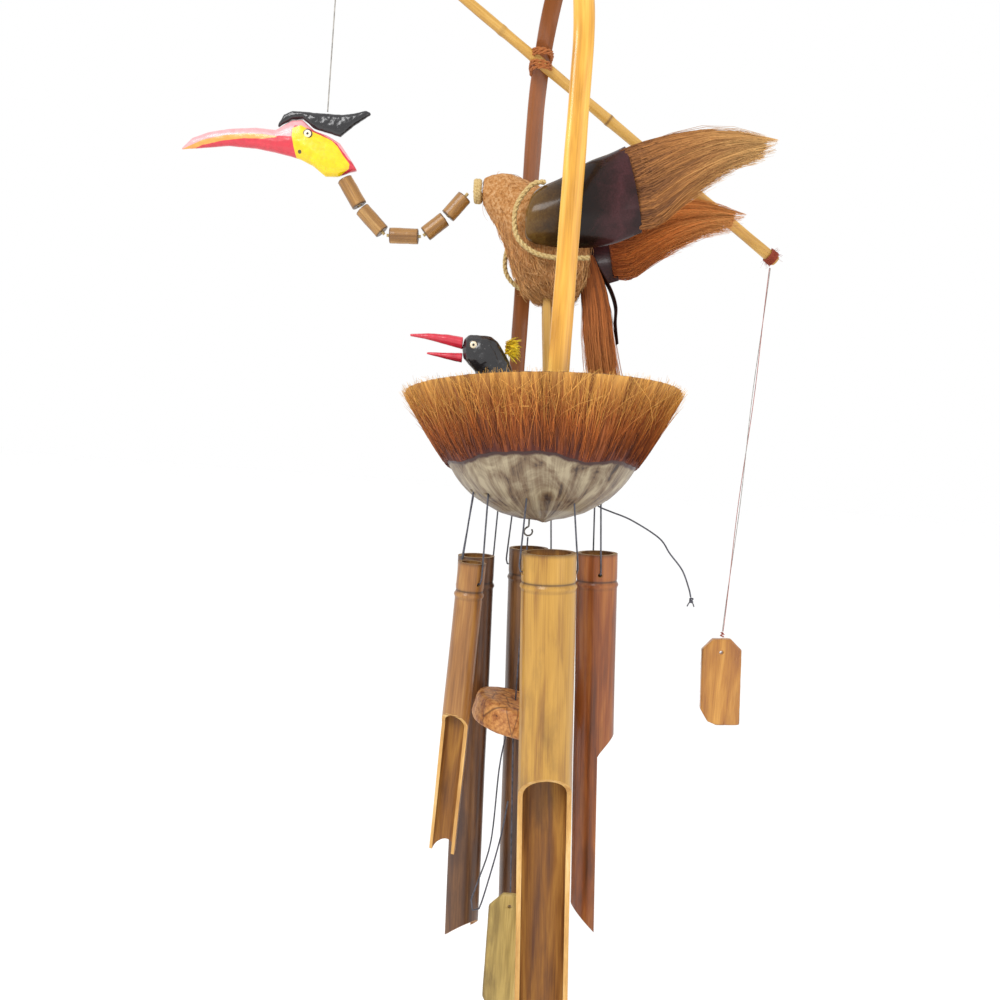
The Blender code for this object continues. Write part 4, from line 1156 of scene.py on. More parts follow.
    def build(self) -> None:
        """Build the bowl and its coir."""
        self.build_shell()
        self.build_coir()


@dataclass
class Hoop:
    """Split bamboo strip bent into an arch, with the cord loop that the chime hangs from."""

    nest: Nest
    top: float = -45.0
    split: float = 5.0
    width: float = 14.0
    rear_width: float = 12.0
    turn: float = 10.5
    arch_height: float = 85.0
    arch_power: float = 1.11
    half_span: float = 70.0
    foot_depth: float = 12.0
    joints: tuple[float, ...] = (46.0, 300.0, 505.0)  # run along the strip of its nodes

    def spot(self, side: np.ndarray, height: np.ndarray) -> np.ndarray:
        """Points in the hoop's plane."""
        turn = math.radians(self.turn)
        return np.stack([self.nest.x - 6.5 - math.sin(turn) * side, math.cos(turn) * side,
                         height + 0 * side], axis=-1)

    def middle_line(self) -> np.ndarray:
        """Points of the strip's middle line from the near foot over the arch to the rear."""
        crest = self.top - self.split / 2
        spring = crest - self.arch_height
        branches = []
        for side in (-1, 1):
            foot = self.spot(np.array([side * self.half_span]), np.zeros(1))[0]
            bottom = self.nest.rim_height(foot[0], foot[1]) - self.foot_depth
            leg = [(side * self.half_span, z) for z in np.linspace(bottom, spring, 44)[:-1]]
            arch = [(side * self.half_span * math.cos(a) ** self.arch_power,
                     spring + self.arch_height * math.sin(a) ** self.arch_power)
                    for a in np.linspace(0.0, math.pi / 2, 50)[:-1]]
            branches.append(leg + arch)
        line = np.array(branches[0] + [(0.0, crest)] + branches[1][::-1])
        return self.spot(line[:, 0], line[:, 1])

    def strip(self) -> Shape:
        """Strip with a flat inner face, a rounded outer face and raised nodes."""
        path = self.middle_line()
        turn = math.radians(self.turn)
        across = np.array([math.cos(turn), math.sin(turn), 0.0])
        along = unit(np.gradient(path, axis=0))
        out = unit(np.cross(along, across))
        middle = np.array([self.nest.x - 6.5, 0.0, self.top - self.arch_height - 40])
        flip = np.sum(out * (path - middle), axis=1) < 0
        out[flip] *= -1
        run = run_along(path)
        share = run / run[-1]
        nodes = sum(np.exp(-((run - j) / 1.6) ** 2) for j in self.joints)
        wave = 0.35 * np.sin(run / 17) + 0.25 * np.sin(run / 7.3)
        half = (self.width + (self.rear_width - self.width) * share) / 2 + 0.25 * wave
        angles = np.linspace(0.0, math.pi, 11)
        profile = [(-0.97, -0.42), (-0.7, -0.5), (0.0, -0.5), (0.7, -0.5), (0.97, -0.42)]
        profile += [(math.cos(a), 0.02 + 0.5 * math.sin(a) - 0.25 * (a in (0, math.pi)))
                    for a in angles]
        rings, stem = [], []
        for x, y in profile:
            thick = self.split * y + np.where(y > 0, 0.7, 0.0) * nodes
            rings.append(path + across * (half * x)[:, None] + out * thick[:, None])
            stem.append(np.column_stack([half * x, thick, run]))
        rings, stem = np.array(rings).transpose(1, 0, 2), np.array(stem).transpose(1, 0, 2)
        sharp = sum(np.exp(-((run - j) / 0.8) ** 2) for j in self.joints)
        wide = np.ones(len(profile))[None, :]
        # the rear half of the strip, past the crest, is coloured browner
        return skin(rings, {"stem": stem * MM, "joint": sharp[:, None] * wide,
                            "age": np.clip((share - 0.47) / 0.06, 0, 1)[:, None] * wide})

    def build_loop(self) -> None:
        """Three-ply cord loop round the top of the hoop."""
        cord, wide = 2.6, 10.0
        low = self.top - self.split - cord / 2 - 0.5
        crown = -cord / 2
        right = [(0.0, low), (0.7 * wide, low + 0.3), (wide, low + 4), (wide, self.top + 3),
                 (0.45 * wide, self.top + 14), (0.55 * wide, crown - 14),
                 (0.5 * wide, crown - 4), (0.0, crown)]
        outline = right + [(-x, z) for x, z in right[-2:0:-1]] + [right[0]]
        knots = [(self.nest.x - 6.5 + x, 0.0, z) for x, z in outline]
        path = curve_through(knots, np.linspace(0.0, 1.0, 160))
        publish("hanging_loop", rope(path, cord / 2, 3, 6.5).mesh("hanging_loop"), [STRAW],
                ROOT, ("hanger_loop",))

    def build(self) -> None:
        """Build the strip and the loop."""
        publish("bamboo_hoop", self.strip().mesh("bamboo_hoop"), [GOLD_BAMBOO],
                ROOT, ("hoop",))
        self.build_loop()


# --- bird ----------------------------------------------------------------------------------
@dataclass
class Fan:
    """Bundle of coir along ribs, each (x1, z1, x2, z2, half depth, offset in y)."""

    ribs: Points
    y: float
    count: int
    finish: Finish
    thick: tuple[float, float] = (0.17, 0.30)
    droop: float = 10.0
    stray: float = 0.05
    reach: float = 1.08
    steps: int = 6
    even: float = 1.25  # 1 spreads the tips evenly, more gathers them at the end
    pinch: float = 0.3  # how much the tips draw together

    def surface(self, share: np.ndarray, angle: np.ndarray, depth: np.ndarray) -> np.ndarray:
        """Points inside the bundle.

        Args:
            share: place along the bundle, 0 at its root.
            angle: bearing round its section, 0 at its upper edge.
            depth: 0 at its core and 1 at its face.

        Returns:
            The points.
        """
        row = curve_through(self.ribs, share)
        up = np.stack([(row[..., 0] - row[..., 2]) / 2, 0 * row[..., 0],
                       (row[..., 1] - row[..., 3]) / 2], axis=-1)
        centre = np.stack([(row[..., 0] + row[..., 2]) / 2, row[..., 5] + self.y,
                           (row[..., 1] + row[..., 3]) / 2], axis=-1)
        rise = (np.sign(np.cos(angle)) * np.abs(np.cos(angle)) ** 0.85 * depth)[..., None]
        side = np.sin(angle) * depth * np.maximum(row[..., 4], 0.6)
        return centre + up * rise + np.stack([0 * side, side, 0 * side], axis=-1)

    def core(self) -> Shape:
        """Closed under-layer of matted fibre."""
        share = np.linspace(0.0, 0.8, 40)[:, None] + np.zeros((1, 72))
        angle = np.zeros((40, 1)) + math.tau * np.arange(72)[None, :] / 72
        rng = np.random.default_rng(SEED + 2)
        ridge = rng.uniform(0.66, 0.8, 72)[None, :] * (1 - 0.45 * share ** 4)
        shade = rng.random(72)[None, :] * 0.7 + np.zeros((40, 1))
        return skin(self.surface(share, angle, ridge), {"along": 0.75 * share, "shade": shade})

    def hair(self) -> Shape:
        """Strands that run along the ribs, with some that droop or stray."""
        rng = np.random.default_rng(SEED + self.count)
        count = self.count
        angle = math.tau * rng.random(count)
        depth = 0.72 + 0.3 * rng.random(count)
        root = 0.28 * rng.random(count) ** 1.5 + 0.35 * (rng.random(count) < 0.3)
        tip = 1.0 - 0.5 * rng.random(count) ** self.even
        wild = rng.random(count) < self.stray
        tip = np.where(wild, rng.uniform(0.9, self.reach, count), tip)
        tip = np.maximum(tip, root + 0.15)
        t = np.linspace(0.0, 1.0, self.steps)[None, :]
        share = root[:, None] + (tip - root)[:, None] * t
        spread = angle[:, None] + rng.normal(0.0, 0.16, count)[:, None] * t
        spread = spread + rng.normal(0.0, 0.03, count)[:, None] * np.sin(9 * t)
        out = depth[:, None] * (1 + (wild * rng.uniform(0.1, 0.8, count))[:, None] * t ** 2)
        out = out * (1 - self.pinch * np.clip(share, 0.0, 1.1) ** 3)
        paths = self.surface(share, spread, out)
        low = np.clip(-np.cos(angle), 0.0, 1.0) * rng.random(count) ** 2 * self.droop
        paths[..., 2] -= low[:, None] * t ** 2
        thick = rng.uniform(*self.thick, count)
        shade = clumped(rng, angle / math.tau, 60)
        return strands(paths, thick, shade, root * 0.8, np.minimum(tip, 1.0))


@dataclass
class Wing:
    """Polished coconut-shell wing cover with a fan of coir behind it and a straw braid."""

    side: Side
    bird_y: float = 15.0
    face: float = 34.5
    shell: float = 3.0
    far_drop: tuple[float, float, float] = (-4.0, 0.0, -16.0)
    far_turn: float = 6.0
    braid: float = 4.0
    shell_ribs: Points = field(default_factory=lambda: [
        (-14, -218, -14.5, -228, 4), (-9, -206, -12, -238, 8), (8, -196, 2, -241.5, 11),
        (24, -185, 26, -241, 12), (38, -178.5, 45, -237, 11), (48, -173, 64, -228, 9)])
    coir_ribs: Points = field(default_factory=lambda: [
        (44, -177, 60, -227, 3, 3.5), (58, -171.5, 74, -224, 8, 0), (78, -164.5, 90, -207, 8, 0),
        (99, -159.5, 105, -192, 7, 0), (121, -159, 122, -178.5, 5, 0),
        (141, -162, 140, -169.5, 2.5, 0)])
    braid_route: Points = field(default_factory=lambda: [
        (-3, -200), (-12, -203), (-21, -218), (-19.5, -236), (-8, -246), (8, -249),
        (30, -247.5)])

    @property
    def edge(self) -> float:
        """Y of the shell's edges on the near wing."""
        return self.bird_y - self.face

    @property
    def place(self) -> np.ndarray:
        """The near wing is drawn in place; the far one is its mirror, lower and turned."""
        if self.side is Side.NEAR:
            return placed()
        mirror = Matrix.Scale(-1, 4, Vector((0, 1, 0)))
        return placed(shift(*self.far_drop), shift(0, 0, -215), turned(self.far_turn, "Y"),
                      shift(0, 0, 215), shift(0, self.bird_y, 0), mirror,
                      shift(0, -self.bird_y, 0))

    def cover(self) -> Shape:
        """Dished shell with rounded edges."""
        along, across = 64, 40
        row = curve_through(self.shell_ribs, np.linspace(0.0, 1.0, along))[:, None, :]
        t = np.linspace(0.0, 1.0, across)[None, :]
        rise = row[..., 4] * np.sin(math.pi * np.clip(t, 0.0, 1.0)) ** 0.85
        spot = np.stack([row[..., 0] + (row[..., 2] - row[..., 0]) * t, self.edge - rise,
                         row[..., 1] + (row[..., 3] - row[..., 1]) * t], axis=-1)
        thin = self.shell * (1 - 0.75 * np.abs(2 * t - 1) ** 10)
        outer = spot - np.stack([0 * thin, thin, 0 * thin], axis=-1)
        rings = np.concatenate([spot, outer[:, ::-1]], axis=1)
        return skin(rings)

    def build(self) -> None:
        """Build the cover, the coir and the braid on this side."""
        word = self.side.value
        near = self.side is Side.NEAR
        publish(f"wing_cover_{word}", self.cover().moved(self.place).mesh("cover", 35),
                [WING_SHELL], ROOT, (f"wing_shell_{word}",))
        finish = WING_FIBRE if near else RUST_FIBRE
        fan = Fan(self.coir_ribs, self.edge - 6, 4800 if near else 4200, finish)
        publish(f"wing_mat_{word}", fan.core().moved(self.place).mesh("mat"), [finish], ROOT,
                (f"wing_coir_{word}",))
        publish(f"wing_strands_{word}", fan.hair().moved(self.place).mesh("hair", tidy=not near),
                [finish], ROOT)
        knots = [(x, self.edge - 2, z) for x, z in self.braid_route]
        path = curve_through(knots, np.linspace(0.0, 1.0, 90))
        plait = rope(path, self.braid / 2, 3, 11.0, flat=1.0).moved(self.place)
        publish(f"wing_plait_{word}", plait.mesh("plait"), [STRAW], ROOT,
                (f"wing_braid_{word}",))


@dataclass
class Bird:
    """Husk body on two stick legs, with a rope collar and a coir tail."""

    y: float = 15.0
    belly_z: float = -232.0
    fibre_count: int = 2600
    tail_ribs: Points = field(default_factory=lambda: [
        (28, -240, 36, -240, 9, 0), (28, -258, 45, -258, 11, 0), (31, -277, 51, -277, 12, 0),
        (33, -297, 55, -297, 13, 0), (37, -318, 60, -318, 13, 0), (42, -342, 67, -342, 13, 0)])
    tail_strip: Points = field(default_factory=lambda: [
        (35.0, -240), (41.5, -250), (49.5, -262), (54.3, -274), (55.0, -286), (57.5, -300)])

    def build_body(self) -> None:
        """Corky body, rougher below, with loose fibres lying on it."""
        mesh = refined("bird_body", 1.1, 6, lump=0.9, lump_size=8.0)
        publish("husk_body", mesh, [BODY_HUSK], ROOT, ("bird_body",))
        rng = np.random.default_rng(SEED + 5)
        spots, normals = points_of(mesh), normals_of(mesh)
        low = np.clip((self.belly_z + 14 - spots[:, 2]) / 30, 0.05, 1.0)
        picked = rng.choice(len(spots), self.fibre_count, p=low / low.sum())
        start, normal = spots[picked], normals[picked]
        lay = np.array([0.45, 0.0, -0.9]) + rng.normal(0.0, 0.35, (self.fibre_count, 3))
        lay = unit(lay - normal * np.sum(lay * normal, axis=1, keepdims=True))
        t = np.linspace(0.0, 1.0, 5)[None, :, None]
        length = rng.uniform(4.0, 13.0, self.fibre_count)[:, None, None]
        bow = rng.uniform(0.4, 1.8, self.fibre_count)[:, None, None]
        paths = start[:, None] + lay[:, None] * length * t
        paths = paths + normal[:, None] * (bow * np.sin(math.pi * 0.8 * t) - 1.6 * t ** 2)
        shade = rng.random(self.fibre_count)
        hair = strands(paths, rng.uniform(0.12, 0.26, self.fibre_count), shade, 0.0, 1.0)
        publish("husk_fibres", hair.mesh("husk_fibres", tidy=False), [HUSK_FIBRE], ROOT)

    def build_collar(self) -> None:
        """Twisted straw rope wound twice round the neck's root."""
        turns = np.linspace(0.0, 2.0, 120)
        angle = math.tau * turns
        path = np.column_stack([-50.4 + 3.4 * turns / 2 + 0 * angle,
                                self.y + 6.6 * np.cos(angle), -201.4 + 6.6 * np.sin(angle)])
        publish("straw_collar", rope(path, 2.2, 3, 6.0).mesh("collar"), [STRAW],
                ROOT, ("neck_collar",))

    def build_tail(self) -> None:
        """Coir tail that falls into the nest, with a strip of shell over it."""
        fan = Fan(self.tail_ribs, self.y + 3, 2600, TAIL_FIBRE, droop=4.0, stray=0.07, reach=1.03)
        publish("tail_mat", fan.core().mesh("tail_mat"), [TAIL_FIBRE], ROOT,
                ("tail_coir",))
        publish("tail_strands", fan.hair().mesh("tail_strands", tidy=False), [TAIL_FIBRE],
                ROOT)
        row = curve_through(self.tail_strip, np.linspace(0.0, 1.0, 40))
        share = np.linspace(0.0, 1.0, 40)
        half = 7.0 * np.sin(math.pi * (0.12 + 0.7 * share)) ** 0.8
        angle = math.tau * np.arange(20) / 20
        rings = np.stack([row[:, None, 0] + 0.95 * np.sin(angle)[None] + 0 * half[:, None],
                          self.y + 3 + half[:, None] * np.cos(angle)[None],
                          row[:, None, 1] + 0.6 * np.sin(angle)[None] + 0 * half[:, None]], axis=-1)
        publish("tail_cover", skin(rings).mesh("tail_cover", 60), [TAIL_SHELL],
                ROOT, ("tail_shell",))

    def build_legs(self) -> None:
        """Peeled sticks with nodes, each straight from its top to its foot."""
        for word in ("front", "rear"):
            low, high = box_of(f"bird_leg_{word}")
            radius = (high[1] - low[1]) / 2
            top = (low[0] + radius, (low[1] + high[1]) / 2, high[2] - 0.4)
            foot = (high[0] - radius, (low[1] + high[1]) / 2, low[2] + 0.4)
            path = curve_through([top, foot], np.linspace(0.0, 1.0, 60))
            run = np.linspace(0.0, 1.0, 60)
            thick = radius * (0.95 + 0.05 * np.sin(run * 15) + 0.06 * np.exp(
                -((run - 0.55) / 0.02) ** 2))
            shape = sweep(path, np.minimum(thick, radius), 16)
            shape.values["joint"] = np.repeat(np.exp(-((run - 0.55) / 0.008) ** 2), 16)
            publish(f"stick_leg_{word}", shape.mesh("leg"), [CANE], ROOT,
                    (f"bird_leg_{word}",))

    def build(self) -> None:
        """Build the body, collar, tail and legs."""
        self.build_body()
        self.build_collar()
        self.build_tail()
        self.build_legs()


def depth_inside(spots: np.ndarray, outline: Points) -> np.ndarray:
    """Distance from each point to an outline in the X and Z plane, positive inside it.

    Args:
        spots: points in millimetres.
        outline: corners as (x, z) in turn.

    Returns:
        One distance for each point.
    """
    x, z = spots[:, 0], spots[:, 2]
    corners = np.asarray(outline, float)
    inside = np.zeros(len(spots), bool)
    best = np.full(len(spots), np.inf)
    for (x1, z1), (x2, z2) in zip(corners, np.roll(corners, -1, axis=0)):
        crosses = (z1 > z) != (z2 > z)
        inside ^= crosses & (x < (x2 - x1) * (z - z1) / (z2 - z1 + 1e-12) + x1)
        run = (x2 - x1) ** 2 + (z2 - z1) ** 2
        t = np.clip(((x - x1) * (x2 - x1) + (z - z1) * (z2 - z1)) / run, 0.0, 1.0)
        best = np.minimum(best, np.hypot(x - x1 - t * (x2 - x1), z - z1 - t * (z2 - z1)))
    return np.where(inside, best, -best)


def mask(distance: np.ndarray, soft: float = 0.5) -> np.ndarray:
    """Turn a signed distance in millimetres into a mask from 0 to 1."""
    return np.clip(0.5 + distance / (2 * soft), 0.0, 1.0)


def eye(place: Vector, outward: float, size: float) -> list[tuple[Shape, int]]:
    """Painted eye: a dark ring, a cream dome and a pupil, each with its finish index."""
    rings = []
    for scale, rise, index in ((1.0, 0.35, 0), (0.8, 0.6, 1), (0.34, 0.8, 2)):
        radius = size * scale
        profile = np.array([(radius, -0.6), (radius, rise * 0.5), (radius * 0.8, rise),
                            (radius * 0.4, rise + 0.12), (0.05, rise + 0.15)])
        angle = math.tau * np.arange(24) / 24
        spots = np.stack([
            place.x + profile[:, None, 0] * np.cos(angle)[None],
            place.y + outward * profile[:, None, 1] + 0 * angle[None],
            place.z + profile[:, None, 0] * np.sin(angle)[None]], axis=-1)
        rings.append((skin(spots), index))
    return rings


def publish_eyes(name: str, spots: np.ndarray, place: tuple[float, float], size: float,
                 body: str) -> None:
    """Build the two eyes of a carved head, sunk a little into its cheeks.

    Args:
        name: the piece's name.
        spots: points of the head.
        place: x and z of both eyes.
        size: radius of the dark ring.
        body: the CAD body they move with.
    """
    x, z = place
    cheek = spots[np.hypot(spots[:, 0] - x, spots[:, 2] - z) < 2.0][:, 1]
    parts = [*eye(Vector((x, cheek.min() + EYE_SUNK, z)), -1.0, size),
             *eye(Vector((x, cheek.max() - EYE_SUNK, z)), 1.0, size)]
    mesh = joined([shape for shape, _ in parts]).mesh(name)
    index = np.concatenate([np.full(len(shape.faces), i) for shape, i in parts])
    mesh.polygons.foreach_set("material_index", index.astype(np.int32))
    publish(name, mesh, [EYE_RIM, EYE_WHITE, EYE_PUPIL], body)


@dataclass
class HeadAndNeck:
    """Carved and painted head with a black crest, on a neck of bamboo beads."""

    beads: int = 5
    eye_place: tuple[float, float] = (-168.8, -172.1)
    eye_size: float = 3.2
    stripe: Points = field(default_factory=lambda: [
        (-256.0, -188.4), (-242.1, -182.3), (-227.7, -178.6), (-213.2, -176.4),
        (-190.8, -175.7)])
    cheek: Points = field(default_factory=lambda: [
        (-179.7, -174.2), (-179.5, -169.0), (-173.8, -166.5), (-167.5, -169.6),
        (-159.1, -172.4), (-152.1, -175.2), (-148.2, -178.6), (-143.6, -184.9),
        (-138.9, -190.3), (-139.1, -193.2), (-152.4, -203.0), (-162.5, -197.0),
        (-175.9, -190.5)])
    margin: Points = field(default_factory=lambda: [
        (-183, -175), (-183, -160), (-150, -160), (-141, -170), (-133, -190),
        (-139.5, -187.5), (-149, -176.5), (-159, -171.4), (-167, -168.5), (-178, -167)])
    bill_end: float = -180.0

    def build_head(self) -> None:
        """Paint the head's zones: red bill, pale top, orange stripe, yellow cheek."""
        mesh = refined("bird_head", 0.5, 8, lump=0.12, lump_size=7.0)
        spots = points_of(mesh)
        x, z = spots[:, 0], spots[:, 2]
        line = np.array(self.stripe)
        middle = np.interp(x, line[:, 0], line[:, 1])
        on_bill = mask(self.bill_end - x, 1.0)
        thick = np.interp(x, [-256.0, -240.0, -200.0, -188.0], [1.2, 1.7, 1.6, 0.2])
        set_values(mesh, "stripe", mask(thick - np.abs(z - middle)) * mask(-190.0 - x, 2.0))
        over_bill = mask(z - middle - 0.9) * on_bill
        crown = mask(depth_inside(spots, self.margin))
        set_values(mesh, "pale", np.maximum(over_bill, 0.8 * crown))
        set_values(mesh, "yellow", mask(depth_inside(spots, self.cheek)))
        set_values(mesh, "mark", mask(1.3 - np.hypot(x + 173.8, z + 184.5)))
        publish("painted_head", mesh, [HEAD_PAINT], "head", ("bird_head",))
        publish_eyes("head_eyes", spots, self.eye_place, self.eye_size, "head")
        crest = refined("head_crest", 0.5, 4, lump=0.25, lump_size=3.0)
        publish("black_crest", crest, [BLACK_PAINT], "head", ("head_crest",))

    def build_beads(self) -> None:
        """Sawn twig beads, a little uneven, on their cord."""
        rng = np.random.default_rng(SEED + 8)
        for i in range(1, self.beads + 1):
            mesh = refined(f"neck_bead_{i}", 0.6, 2, lump=0.18, lump_size=6.0)
            spots = points_of(mesh)
            centre = spots.mean(axis=0)
            _, _, axes = np.linalg.svd((spots - centre)[::7], full_matrices=False)
            local = (spots - centre) @ axes.T
            stem = np.column_stack([local[:, 1], local[:, 2], local[:, 0] + 40 * rng.random()])
            set_values(mesh, "stem", stem * MM)
            half = np.abs(local[:, 0]).max()
            set_values(mesh, "joint", 0.8 * mask(np.abs(local[:, 0]) - half + 0.7, 0.6))
            publish(f"twig_bead_{i}", mesh, [BEAD_BAMBOO], f"neck_{i}",
                    (f"neck_bead_{i}",))
            dress_node(f"neck_cord_{i}", STRAW)

    def build(self) -> None:
        """Build the head, its eyes, the crest and the neck."""
        self.build_head()
        self.build_beads()
        dress_node("head_string", GREY_NYLON)


@dataclass
class Chick:
    """Carved chick in the nest with an open red bill, a white eye and a dyed tuft."""

    eye_place: tuple[float, float] = (-42.6, -311.0)
    eye_size: float = 3.0
    tuft_count: int = 300
    bill_inset: float = 1.1

    def build(self) -> None:
        """Build the head, bill, eyes and tuft."""
        head = refined("chick_head", 0.6, 14, lump=0.3, lump_size=6.0)
        publish("carved_chick", head, [BLACK_PAINT], ROOT, ("chick_head",))
        for word in ("upper", "lower"):
            bill = refined(f"chick_bill_{word}", 0.35, 4, lump=0.1, lump_size=4.0)
            move_points(bill, points_of(bill) + [self.bill_inset, 0.0, 0.0])
            publish(f"red_bill_{word}", bill, [BILL_PAINT], ROOT,
                    (f"chick_bill_{word}",))
        publish_eyes("chick_eyes", points_of(head), self.eye_place, self.eye_size, ROOT)
        self.build_tuft()

    def build_tuft(self) -> None:
        """Short bristles of dyed coir glued to the back of the head."""
        low, high = box_of("chick_tuft")
        rng = np.random.default_rng(SEED + 9)
        count = self.tuft_count
        start = np.column_stack([low[0] + (high[0] - low[0]) * 0.35 * rng.random(count),
                                 (low[1] + high[1]) / 2 + rng.normal(0.0, 2.0, count),
                                 low[2] + (high[2] - low[2]) * (0.15 + 0.7 * rng.random(count))])
        aim = unit(np.column_stack([rng.uniform(0.5, 1.0, count), rng.normal(0.0, 0.35, count),
                                    rng.normal(0.05, 0.5, count)]))
        paths = grown(start, aim, rng.uniform(3.0, 8.5, count), 1.5)
        hair = strands(paths, rng.uniform(0.25, 0.45, count), rng.random(count))
        publish("dyed_tuft", hair.mesh("dyed_tuft", tidy=False), [TUFT_FIBRE],
                ROOT, ("chick_tuft",))


# --- balance stick and counterweight -----------------------------------------------------
@dataclass
class BalanceStick:
    """Rattan stick that rocks in its raffia lashing, with a thread tie near each end."""

    left_dia: float = 7.0
    right_dia: float = 9.0
    joints: tuple[float, ...] = (52.0, 143.0, 243.0, 330.0)
    tie_turns: int = 7

    def ends(self) -> tuple[np.ndarray, np.ndarray]:
        """Middles of the stick's two end faces."""
        low, high = box_of("balance_stick")
        slope = unit(np.array([high[0] - low[0], high[1] - low[1], low[2] - high[2]]))
        tilt = math.hypot(slope[0], slope[1])
        left = np.array([low[0] + self.left_dia / 2 * abs(slope[2]),
                         low[1] + self.left_dia / 2 * slope[0],
                         high[2] - self.left_dia / 2 * tilt])
        right = np.array([high[0] - self.right_dia / 2 * abs(slope[2]),
                          high[1] - self.right_dia / 2 * slope[0],
                          low[2] + self.right_dia / 2 * tilt])
        return left, right

    def tie(self, word: str, radius: float) -> None:
        """Wind a thread round the stick and leave frayed ends."""
        middle = np.mean(box_of(f"stick_tie_{word}"), axis=0)
        left, right = self.ends()
        axis = unit(right - left)
        turns = np.linspace(0.0, self.tie_turns, self.tie_turns * 18)
        across = unit(np.cross(axis, (0.0, 1.0, 0.0)))
        up = np.cross(axis, across)
        angle = math.tau * turns
        path = (middle + axis * ((turns / self.tie_turns - 0.5) * 6.4)[:, None]
                + (across * np.cos(angle)[:, None] + up * np.sin(angle)[:, None]) * (radius + 0.75))
        rng = np.random.default_rng(SEED + len(word))
        count = 46
        start = middle + axis * rng.uniform(-3.0, 3.0, count)[:, None]
        turn = rng.uniform(0.0, math.tau, count)
        out = across * np.cos(turn)[:, None] + up * np.sin(turn)[:, None]
        start = start + out * radius
        length = rng.uniform(2.0, 6.5, count)
        aim = unit(out + axis * rng.normal(0.0, 0.8, count)[:, None])
        paths = grown(start, aim, length, 1.2)
        hair = strands(paths, rng.uniform(0.14, 0.24, count), rng.random(count))
        wound = sweep(path, 0.65, 7)
        parts = joined([Shape(wound.points, wound.faces), Shape(hair.points, hair.faces)])
        publish(f"frayed_tie_{word}", parts.mesh("tie"), [TIE_THREAD], "stick",
                (f"stick_tie_{word}",))

    def build_stick(self) -> None:
        """Cane with swollen nodes and a gentle waver."""
        left, right = self.ends()
        share = np.linspace(0.0, 1.0, 240)
        path = left + (right - left) * share[:, None]
        run = share * np.linalg.norm(right - left)
        thick = (self.left_dia + (self.right_dia - self.left_dia) * share) / 2
        swell = sum(np.exp(-((run - j) / 2.0) ** 2) for j in self.joints)
        end = 1 - 0.12 * np.exp(-np.minimum(run, run[-1] - run) / 0.8)
        shape = sweep(path, (thick - 0.15 + 0.4 * swell + 0.12 * np.sin(run / 9)) * end, 20)
        ring = sum(np.exp(-((run - j) / 0.7) ** 2) for j in self.joints)
        shape.values["joint"] = np.repeat(ring, 20)
        publish("rattan_stick", shape.mesh("rattan_stick"), [CANE], "stick",
                ("balance_stick",))

    def build_lashing(self) -> None:
        """Raffia wound round the hoop's rear leg and over the stick."""
        low, high = box_of("pivot_lashing")
        middle, half = (low + high) / 2, (high - low) / 2
        rng = np.random.default_rng(SEED + 3)
        shapes = []
        for level in np.linspace(-1.0, 1.0, 9):
            if abs(level) < 0.3:
                continue
            angle = np.linspace(0.0, math.tau, 61)
            squeeze = 1 - 0.16 * rng.random()
            x = np.sign(np.cos(angle)) * np.abs(np.cos(angle)) ** 0.7 * (half[0] - 1.4) * squeeze
            y = np.sign(np.sin(angle)) * np.abs(np.sin(angle)) ** 0.7 * (half[1] - 1.4)
            z = level * (half[2] - 2.2) - 0.18 * level * y / half[1]
            z = z + rng.normal(0.0, 0.4) + 1.0 * np.sin(angle + rng.uniform(0, 6))
            path = np.column_stack([middle[0] + x, middle[1] + y, middle[2] + z])
            shapes.append(rope(path, 1.25, 2, 9.0))
        publish("raffia_lashing", joined(shapes).mesh("raffia_lashing"), [RAFFIA],
                ROOT, ("pivot_lashing",))

    def build(self) -> None:
        """Build the stick, its ties and its lashing."""
        self.build_stick()
        for word, dia in (("left", self.left_dia), ("right", self.right_dia)):
            self.tie(word, dia / 2)
        self.build_lashing()


def slat(node: str, bow: float, voxel: float = 0.7) -> bpy.types.Mesh:
    """Split-bamboo slat: softened edges and a face that is bowed across its width.

    Args:
        node: the CAD slat to copy.
        bow: how far its edges bend back.
        voxel: size of the mesh's cells.

    Returns:
        The mesh with its grain marked.
    """
    mesh = refined(node, voxel, 4, lump=0.15, lump_size=9.0)
    spots = points_of(mesh)
    low, high = spots.min(axis=0), spots.max(axis=0)
    middle, half = (low + high) / 2, (high - low) / 2
    across = (spots[:, 0] - middle[0]) / half[0]
    thick = 1 - 0.3 * across ** 2
    moved = spots.copy()
    moved[:, 1] = middle[1] + (spots[:, 1] - middle[1]) * thick + bow * (across ** 2 - 0.4)
    move_points(mesh, moved)
    set_values(mesh, "stem", spots * MM)
    rim = np.minimum(half[0] - np.abs(spots[:, 0] - middle[0]), spots[:, 2] - low[2])
    set_values(mesh, "joint", 0.55 * mask(0.9 - rim, 0.8))
    return mesh


